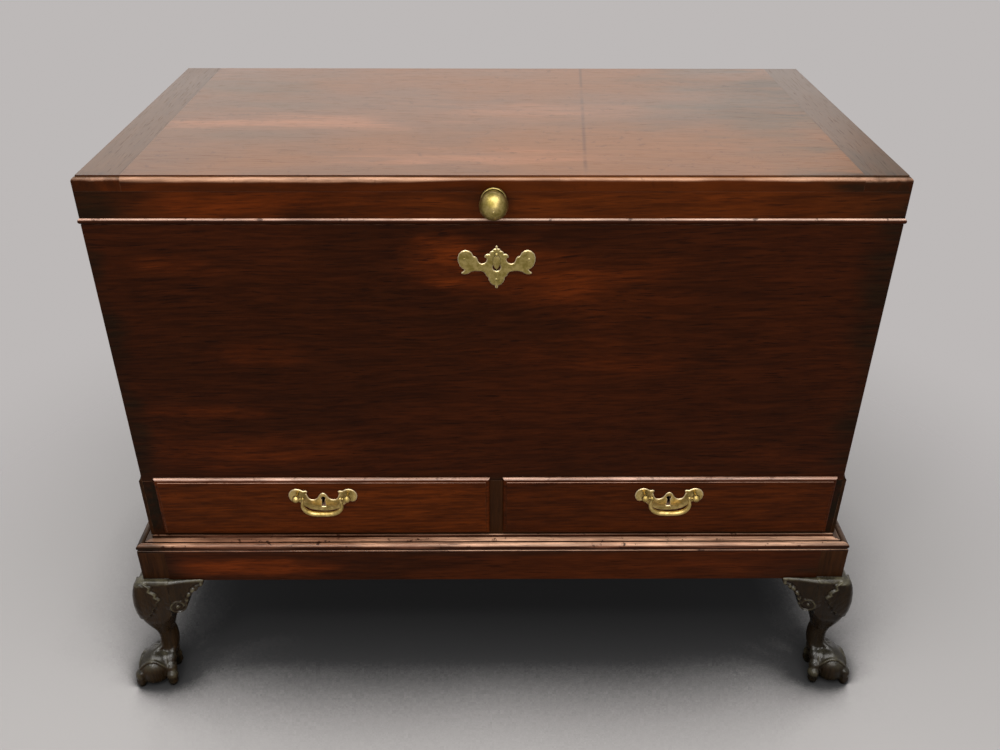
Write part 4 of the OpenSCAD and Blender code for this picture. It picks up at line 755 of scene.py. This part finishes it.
# The muntin takes the dark post tones: painted shade between the proud drawers.
dress(timber("muntin", "z", (0.03, -0.2, 0.3), **post_tones), "drawer_muntin")
back_tones = dict(dark=(0.1, 0.056, 0.026), light=(0.145, 0.084, 0.041), warm=(0.17, 0.1, 0.05),
                  worn_colour=(0.3, 0.2, 0.11))
dress(timber("back_boards", "x", (0.0, 0.2, 0.5), rings=20, rough=0.6, grime_and_shade=0.8, fibre=0.12, **back_tones),
      "case_back", "drawer_divider")
# The case bottom's edge below the drawers takes the dark post tones: painted shade.
dress(timber("case_floor", "x", (0, 0, 0.2), rings=26, **post_tones), "case_bottom")
inside_tones = dict(dark=(0.19, 0.115, 0.055), light=(0.31, 0.2, 0.105), warm=(0.36, 0.235, 0.125),
                    worn_colour=(0.42, 0.3, 0.18))
dress(timber("well_floor", "x", (0.0, 0.0, 0.3), rings=20, rough=0.6, **inside_tones), "well_floor")

# ------------------------ drawers
# Lipped mahogany fronts dovetailed to thin boxes of a pale plain wood, whose
# bottoms slide into grooves.  The lips' upper edges are paler, rubbed and painted
# as highlight, and the left front is painted lighter and the right one darker as
# painted light and shade.
drawer_tones = dict(front_tones, light=(0.06, 0.0115, 0.0012), dark=(0.038, 0.0078, 0.001),
                    warm=(0.085, 0.016, 0.0016))
# Paler tones for the lips' upper edges: rubbed wear and painted highlight.
rubbed_and_lit_tones = ((0.28, 0.13, 0.08), (0.64, 0.4, 0.3), (0.8, 0.54, 0.41))
# The left drawer front is painted lighter and the right one darker: painted light and shade.
for side, x, shade in (("left", -0.26, 1.12), ("right", 0.27, 0.8)):
    dress(timber(f"{side}_drawer_face", "x", (x, -0.2, 0.3), lean=(0, 0.02, 0.02), rings=30, faded_and_lit=rubbed_and_lit_tones,
                 sheen=0.8, patch=0.35, nicks=0.45, wear=0.3, fibre=0.36, **shaded(drawer_tones, shade)),
          f"{side}_drawer_front")
    dress(timber(f"{side}_drawer_box", "y", (x, 0, 0.25), rings=24, rough=0.55, **inside_tones),
          f"{side}_drawer_sides")
    dress(timber(f"{side}_drawer_panel", "x", (x, 0, 0.2), rings=24, rough=0.55, **inside_tones),
          f"{side}_drawer_back", f"{side}_drawer_bottom")


# ------------------------ lid
# A wide board with a cleat tongued across each end, glued on a shallow frame of
# four rails with a bead along its lower edge.  The top is paler, sun-faded and painted
# lighter as light from above, with a painted highlight along its front arris and
# painted shade in dim patches towards the right.
def top_stains(colour, *marks):
    """Spots on the lid's top: each mark is its x and y, half its width and depth, and its strength"""
    return [((x, y, 0.87), (wide, deep, 0.01), colour, strength) for x, y, wide, deep, strength in marks]


def arris_wear_and_highlight(colour, strength):
    """The pale edge between the lid's top and its front: rubbed wear and painted highlight"""
    return stains(colour, -0.2605, 0.0038, (0, 0.8665, 1.2, 0.0045, strength))


# The top's and the cleats' upper tones are paler than the front's: sun-fading and painted light from above.
top_tones = ((0.122, 0.053, 0.022), (0.155, 0.064, 0.024), (0.2, 0.078, 0.026))
cleat_tones = ((0.083, 0.039, 0.016), (0.098, 0.046, 0.019), (0.115, 0.052, 0.021))
pink, grey, painted_dim = (0.275, 0.108, 0.046), (0.1, 0.056, 0.027), (0.06, 0.036, 0.02)
rail_tones = dict(front_tones, light=(0.055, 0.0105, 0.0012), dark=(0.022, 0.005, 0.001),
                  warm=(0.095, 0.019, 0.002))
board_spots = top_stains(pink, (-0.3, -0.03, 0.26, 0.05, 0.8), (0.1, 0.03, 0.3, 0.06, 0.6),
                         (0.02, -0.19, 0.34, 0.05, 0.7))
board_spots += top_stains(grey, (-0.36, 0.15, 0.2, 0.14, 0.8), (-0.35, -0.1, 0.2, 0.05, 0.6),
                          (0.43, 0.06, 0.3, 0.42, 0.95))
# Dim patches towards the right: painted shade.
board_spots += top_stains(painted_dim, (0.45, 0.15, 0.2, 0.2, 0.5), (0.3, -0.02, 0.14, 0.05, 0.4))
# Darker at the right of the front edge, and the pale front arris: rubbed wear and painted highlight.
board_spots += stains(darkening, front_y, 0.02, (0.48, 0.852, 0.14, 0.03, 0.9)) + arris_wear_and_highlight((0.5, 0.27, 0.165), 0.9)
dress(timber("lid_board", "x", (0, 0.0, 0.80), lean=(0, 0.02, 0.02), rings=18, wave=0.04, rough=0.32, sheen=0.42,
             wear=0.25, fibre=0.07, pores=0.2, ring_depth=0.05, patch=0.8, nicks=0.3, crack=(0.134, 0.064),
             faded_and_lit=top_tones, spots=board_spots, **rail_tones), "lid_panel")
# Dim patches on the right cleat: painted shade.
cleat_spots = top_stains(painted_dim, (0.52, -0.23, 0.1, 0.14, 0.75), (0.52, 0.1, 0.1, 0.4, 0.25))
# The cleats are darker at their front ends.
cleat_spots += stains(darkening, front_y, 0.03, (0.56, 0.85, 0.14, 0.04, 0.8), (-0.54, 0.85, 0.1, 0.04, 0.7))
# The cleats' front arris too: rubbed wear and painted highlight.
cleat_spots += arris_wear_and_highlight((0.4, 0.21, 0.13), 0.8)
dress(timber("lid_cleats", "y", (0.5, 0, 0.8), rings=22, rough=0.32, sheen=0.42, wear=0.25, grime_and_shade=0.3, nicks=0.3,
             fibre=0.08, pores=0.2, ring_depth=0.06, faded_and_lit=cleat_tones, spots=cleat_spots, **rail_tones),
      "lid_cleat_left", "lid_cleat_right")
# The front rail is darker round the knob and towards both ends, most at the right, and rubbed to orange either
# side.
rail_spots = stains(darkening, front_y, 0.03, (0.0, 0.84, 0.05, 0.03, 0.85), (-0.5, 0.84, 0.1, 0.05, 0.7))
rail_spots += stains(orange, front_y, 0.03, (-0.28, 0.835, 0.2, 0.03, 0.75), (0.28, 0.84, 0.12, 0.018, 0.4))
for deep, mark in ((0.05, (0.5, 0.84, 0.18, 0.09, 0.9)), (0.06, (0.54, 0.84, 0.16, 0.1, 1.0)),
                   (0.07, (0.55, 0.84, 0.12, 0.12, 1.0)), (0.05, (-0.53, 0.84, 0.05, 0.08, 0.8))):
    rail_spots += stains(darkening, front_y, deep, mark)
dress(timber("lid_rail_x", "x", (0, -0.2, 0.80), lean=(0, 0.02, 0.01), rings=26, wear=0, spots=rail_spots,
             **rail_tones), "lid_front_rail", "lid_back_rail")
dress(timber("lid_rail_y", "y", (0.45, 0, 0.80), rings=26, wear=0, **rail_tones),
      "lid_side_rail_left", "lid_side_rail_right")
# The bead's upper face is paler: rubbed wear and painted highlight.
dress(timber("lid_bead", "x", (0, -0.2, 0.79), wear=1.0, faded_and_lit=rubbed_and_lit_tones, sheen=0.5, nicks=0.7,
             **front_tones), "lid_bead")


# ------------------------ hinges and locks
# Hinges, lid lock and its link plate are cast and filed brass, yellow where hands
# rub and brown in the hollows.  Pins, bolts and drawer locks are iron with rust.
def aged_brass(name, dull, yellow):
    """Brass that wanders between a dull and a yellow tone"""
    material, tree = blank_material(name)
    place = add(tree, "TexCoord").outputs["Object"]
    edges = add(tree, "Group", {"Place": place, "Width": 0.001, "Grime And Shade Width": 0.009}, node_tree=worn).outputs
    cloud = ramp(tree, noise(tree, place, 110, 4, 0.6), 0.35, 0.65)
    colour = blend(tree, cloud, dull, yellow)
    colour = blend(tree, edges["Grime And Shade"], colour, (0.045, 0.032, 0.008))
    colour = blend(tree, edges["Rubbed"], colour, (0.9, 0.78, 0.5))
    # Bright on the bevels: filed brass and painted highlight.
    filed = add(tree, "Attribute", attribute_name="rub_and_glint").outputs["Fac"]
    colour = blend(tree, ramp(tree, filed, 0.15, 0.6, 0, 0.6), colour, (0.98, 0.84, 0.57))
    scratches = noise(tree, place, 320, 2, 0.6, 0.3)
    bump = add(tree, "Bump", {"Height": scratches, "Strength": 0.08, "Distance": 0.0002, "Normal": edges["Normal"]})
    shader = add(tree, "BsdfPrincipled", {
        "Base Color": colour, "Metallic": 1.0, "Roughness": ramp(tree, cloud, 0, 1, 0.46, 0.36),
        "Normal": bump.outputs[0]})
    add(tree, "OutputMaterial", {"Surface": shader.outputs[0]})
    return material


brass = aged_brass("old_brass", (0.23, 0.178, 0.045), (0.45, 0.35, 0.125))
dress(brass, "hinge_leaves_case", "hinge_leaves_lid", "lid_lock", "lock_link_plate")

iron, tree = blank_material("old_iron")
place = add(tree, "TexCoord").outputs["Object"]
edges = add(tree, "Group", {"Place": place}, node_tree=worn).outputs
rust = ramp(tree, noise(tree, place, 90, 5, 0.7), 0.5, 0.66)
colour = blend(tree, rust, (0.09, 0.088, 0.085), (0.085, 0.032, 0.013))
colour = blend(tree, edges["Rubbed"], colour, (0.34, 0.33, 0.32))
colour = blend(tree, edges["Grime And Shade"], colour, (0.02, 0.014, 0.01))
shader = add(tree, "BsdfPrincipled", {
    "Base Color": colour, "Metallic": ramp(tree, rust, 0, 1, 0.9, 0.05),
    "Roughness": ramp(tree, rust, 0, 1, 0.42, 0.8), "Normal": edges["Normal"]})
add(tree, "OutputMaterial", {"Surface": shader.outputs[0]})
dress(iron, "hinge_pins", "lid_lock_bolt", "left_drawer_lock", "right_drawer_lock", "left_lock_bolt",
      "right_lock_bolt")


# ------------------------ lid knob
# A turned brass ball on a short neck, with a turned rose behind it, held by a
# shank through the lid's front rail.
def turned(profile, axis_at, steps=64):
    """A piece turned on a lathe about a line along Y.
    profile is (distance from the line, Y), from front to back."""
    bm = bmesh.new()
    x, z = axis_at
    verts = [bm.verts.new((x * MM + r * MM, y * MM, z * MM)) for r, y in profile]
    edges = [bm.edges.new(pair) for pair in zip(verts, verts[1:])]
    bmesh.ops.spin(bm, geom=verts + edges, cent=(x * MM, 0, z * MM), axis=(0, 1, 0), angle=2 * math.pi,
                   steps=steps, use_merge=True)
    bmesh.ops.remove_doubles(bm, verts=bm.verts, dist=1e-6)
    bmesh.ops.recalc_face_normals(bm, faces=bm.faces)
    return bm


def rounded_front(radius, y, angles):
    """The points of a ball's profile at some degrees from its foremost point"""
    return [(radius * math.sin(math.radians(a)), y - radius * math.cos(math.radians(a))) for a in angles]


low, high_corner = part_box("lid_knob")
knob_y, knob_z, knob_r = -282.4, 839, 18.6
knob_at = ((low.x + high_corner.x) / 2 / MM, knob_z)
knob_front = knob_y - knob_r
profile = [(0, knob_front + 0.5), (0.8, knob_front + 0.45), (1.3, knob_front - 0.1)]
profile += rounded_front(knob_r, knob_y, range(6, 162, 4)) + [(4.6, -263.6), (4.6, -263), (0, -263)]
finished("knob_ball", turned(profile, knob_at), "lid", "lid_knob", "brass", brass)
profile = [(0, -264.3), (9, -264.3), (11.4, -264.5), (12.4, -263.9), (14.4, -263.7), (15.6, -264.4),
           (16.6, -263.9), (17, -262.8), (17, -261.6), (0, -261.6)]
finished("knob_rose_turned", turned(profile, knob_at), "lid", "knob_rose", "brass", brass)


# ------------------------ escutcheon
# A batwing plate sawn from sheet brass, its edge filed to a wide bevel, pinned
# with three round heads over the keyhole.
def sawn_plate(outline, hole, back, thick, bevel, rise):
    """A flat plate of that outline and hole in X and Z, with its front edges filed to a bevel"""
    bm = bmesh.new()
    for loop in (outline, hole):
        verts = [bm.verts.new((x * MM, (back - thick + rise) * MM, z * MM)) for x, z in loop]
        for i, vert in enumerate(verts):
            bm.edges.new((vert, verts[(i + 1) % len(verts)]))
    bmesh.ops.triangle_fill(bm, use_beauty=True, use_dissolve=False, edges=bm.edges[:])
    bmesh.ops.recalc_face_normals(bm, faces=bm.faces)
    if bm.faces[0].normal.y > 0:
        bmesh.ops.reverse_faces(bm, faces=bm.faces)
    pushed = bmesh.ops.extrude_face_region(bm, geom=bm.faces[:], use_keep_orig=True)["geom"]
    bmesh.ops.translate(bm, verts=[g for g in pushed if isinstance(g, bmesh.types.BMVert)],
                        vec=(0, (thick - rise) * MM, 0))
    front = [f for f in bm.faces if abs(f.normal.y) > 0.9 and f.calc_center_median().y <= (back - 0.01) * MM]
    bmesh.ops.inset_region(bm, faces=front, thickness=bevel * MM, depth=0, use_even_offset=True, use_boundary=True)
    inner = {v for f in front for v in f.verts}
    bmesh.ops.translate(bm, verts=list(inner), vec=(0, -rise * MM, 0))
    bmesh.ops.recalc_face_normals(bm, faces=bm.faces)
    # The bevel is marked to be painted bright: filed edge and painted highlight.
    note_rub_and_glint(bm, [v not in inner for v in bm.verts])
    return bm


def both_sides(half, middle, height):
    """A closed outline from its right half, from the top round to the bottom"""
    right_half = [(middle + x, height + z) for x, z in half]
    return right_half + [(2 * middle - x, z) for x, z in reversed(right_half)]


def arc(x, z, radius, start, stop, count):
    angles = [math.radians(start + (stop - start) * i / (count - 1)) for i in range(count)]
    return [(x + radius * math.cos(a), z + radius * math.sin(a)) for a in angles]


key_x, key_z = 4, 742.7
batwing = [
    (0.7, 31.9), (1.5, 30.8), (1.5, 29.3), (1.1, 28.3), (2.2, 27.7), (3.7, 27.5), (4.7, 26.4), (4.6, 25),
    (6.2, 24.6), (7.9, 23.4), (8.8, 21.6), (8.8, 20.4), (10.9, 20.6), (13.2, 19.6), (14.7, 17.6), (14.6, 15.4),
    (12.9, 14.5), (11.8, 13.3), (12.4, 10.4), (14.8, 7.8), (17.8, 6.6), (20.8, 7.8), (22.6, 10.4), (23.3, 13.4),
    (24.2, 15.2), (25.8, 16.8), (27.6, 17.2), (28.7, 18.4), (30.2, 22), (33.4, 24.8), (37.6, 25.9), (42.2, 24.5),
    (45.8, 20.8), (47.4, 15.6), (47.1, 9.6), (45.1, 3.6), (42.2, 0.1), (39.4, -2), (40.6, -4), (43.2, -5.6),
    (43.2, -7.6), (40.6, -8.6), (36.4, -8.2), (33.8, -6.9), (31.6, -5), (27, -3.8), (21, -3.8), (16.6, -4.8),
    (14, -7.2), (13, -10.2), (11.6, -11.8), (10.1, -13), (9.8, -16), (8.5, -19.4), (6.4, -22.2), (3.7, -24),
    (1.9, -24.4), (1.9, -26.2), (1.5, -28), (0.6, -28.6),
]
batwing = [(x * 1.09, z * 1.03) for x, z in batwing]
keyhole = arc(key_x, key_z + 1.8, 5.4, 0, 330, 12)
plate = sawn_plate(both_sides(batwing, key_x, key_z), keyhole, back=-261.5, thick=1.7, bevel=1.3, rise=1.0)
pin_y = -263.1
for x, z, radius in ((key_x, 726.4, 1.7), (key_x - 43, key_z + 13.5, 1.3), (key_x + 43, key_z + 13.5, 1.3)):
    at = at_mm(x, pin_y, z) @ Matrix.Diagonal((1, 0.5, 1, 1))
    bmesh.ops.create_uvsphere(plate, u_segments=24, v_segments=16, radius=radius * MM, matrix=at)
finished("escutcheon_plate", plate, "stand_and_case", "escutcheon", "brass", brass)

# ------------------------ keyhole cover
# A small cast brass leaf with a soft ridge, that hangs from a round-headed rivet
# and swings off the keyhole.
cover = bmesh.new()
leaf_y, leaf_mid_z, leaf_half, rivet_z = -264.1, 752.2, 10.4, 763.4
leaf = bmesh.ops.create_uvsphere(cover, u_segments=40, v_segments=28, radius=1)["verts"]
for vert in leaf:
    x, y, z = vert.co
    narrow = (1 + 0.1 * z - 0.45 * (z < 0) * z * z) * 5.0
    ridge = 0.35 * math.exp(-((x - 0.12) / 0.25) ** 2) * (1 - z * z)
    thick = 0.75 + (ridge if y < 0 else 0)
    vert.co = ((key_x + x * narrow) * MM, (leaf_y + y * thick) * MM, (leaf_mid_z + z * leaf_half) * MM)
for y, radius, tall in ((-264.2, 3.0, 0.9), (-265.1, 2.1, 1.2)):
    at = at_mm(key_x, y, rivet_z) @ Matrix.Diagonal((radius, tall, radius, 1))
    bmesh.ops.create_uvsphere(cover, u_segments=32, v_segments=20, radius=MM, matrix=at)
finished("cover_leaf", cover, "cover", "keyhole_cover", "brass", brass)

# ------------------------ drawer handles
# Each handle is a bevelled brass plate, two posts that pass through the drawer's
# front to nuts inside, and a cast bail that swings on pins in the posts.
handle_brass = aged_brass("handled_brass", (0.36, 0.26, 0.08), (0.62, 0.46, 0.175))
handle_z, post_reach, post_head = 368, 38.5, 5.9
bail_y, bail_reach, bail_r, bail_taper = -281.8, 28.4, 3.7, 1.5
knuckle_r, bail_pin_x, bail_pin_r, bail_pin_l = 3.1, 32, 1.6, 8
wing = [
    (0.6, 1.3), (2.5, 0.7), (4.8, -1.4), (7, -5), (9.1, -8.4), (11.7, -10.4), (15.2, -11.4), (19, -10.8),
    (21.8, -8.4), (23.5, -5), (24.3, -1.7), (25.4, -0.9), (24, 1.6), (23.2, 4.3), (25.4, 5.7), (29.8, 5),
    (31.8, 6.3), (35.6, 8.3), (39.4, 9), (43.8, 8.3), (48.3, 5.7), (51.4, 1), (52.5, -4.4), (51.4, -9.8),
    (48.3, -14.4), (44.4, -15.4), (41.3, -14.6), (38, -15.2), (34, -19), (28, -25), (20.5, -29.8), (12, -32.2),
    (4, -33),
]
bail_line = [(28.4, 2), (28.5, -3), (29.6, -8.4), (30.2, -14), (28.2, -20), (23.4, -25.4), (16.4, -28.6),
             (8.2, -29.6), (0, -29.8)]
bail_line += [(-x, z) for x, z in reversed(bail_line[:-1])]
stations = len(bail_line) - 1
fine = np.linspace(0, stations, 6 * stations + 1)
route = np.array([np.interp(fine, range(stations + 1), row) for row in zip(*bail_line)]).T
for _ in range(4):
    route[1:-1] = (route[:-2] + 2 * route[1:-1] + route[2:]) / 4
ahead = np.gradient(route, axis=0)
across = Matrix.Rotation(math.pi / 2, 4, "Y")
for side in ("left", "right"):
    drawer = f"{side}_drawer"
    low, high_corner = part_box(f"{side}_handle_plate")
    middle = (low.x + high_corner.x) / 2 / MM
    back, thick = high_corner.y / MM, high_corner.y / MM - low.y / MM
    hole = arc(middle, handle_z - 9, 3.4, 232, -52, 11) + [
        (middle + 2, handle_z - 15), (middle + 2.8, handle_z - 24), (middle - 2.8, handle_z - 24),
        (middle - 2, handle_z - 15)]
    plate = sawn_plate(both_sides(wing, middle, handle_z), hole, back, thick, 1.4, 0.9)
    finished(f"{side}_plate", plate, drawer, f"{side}_handle_plate", "brass", handle_brass)

    low, high_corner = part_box(f"{side}_handle_posts")
    front, nut = low.y / MM, high_corner.y / MM
    profile = [(0, front)] + rounded_front(post_head, bail_y, range(10, 141, 10))
    profile += [(2.6, -275.4), (2.2, -273), (2.3, -269.7), (3, -269.5), (3, nut), (0, nut)]
    posts = bmesh.new()
    for sign in (-1, 1):
        posts.from_mesh(meshed("post", turned(profile, (middle + sign * post_reach, handle_z), 40)))
    finished(f"{side}_posts", posts, drawer, f"{side}_handle_posts", "brass", handle_brass)

    bail = bmesh.new()
    loops = []
    for i, (x, z) in enumerate(route):
        t = abs(2 * i / (len(route) - 1) - 1)
        radius = bail_r - bail_taper * step(t, 0.3, 0.9)
        slope = Matrix.Rotation(-math.atan2(ahead[i][1], ahead[i][0]), 4, "Y")
        at = at_mm(middle + x, bail_y, handle_z + z) @ slope @ across
        loops.append(bmesh.ops.create_circle(bail, segments=24, radius=radius * MM, matrix=at)["verts"])
    join_rings(bail, loops)
    for sign in (-1, 1):
        at = at_mm(middle + sign * bail_reach, bail_y, handle_z)
        bmesh.ops.create_uvsphere(bail, u_segments=32, v_segments=20, radius=knuckle_r * MM, matrix=at)
        at = at_mm(middle + sign * bail_pin_x, bail_y, handle_z) @ across
        bmesh.ops.create_cone(bail, cap_ends=True, segments=20, radius1=bail_pin_r * MM, radius2=bail_pin_r * MM,
                              depth=bail_pin_l * MM, matrix=at)
    bmesh.ops.recalc_face_normals(bail, faces=bail.faces)
    finished(f"{side}_bail_cast", bail, f"{side}_bail", f"{side}_bail", "brass", handle_brass)
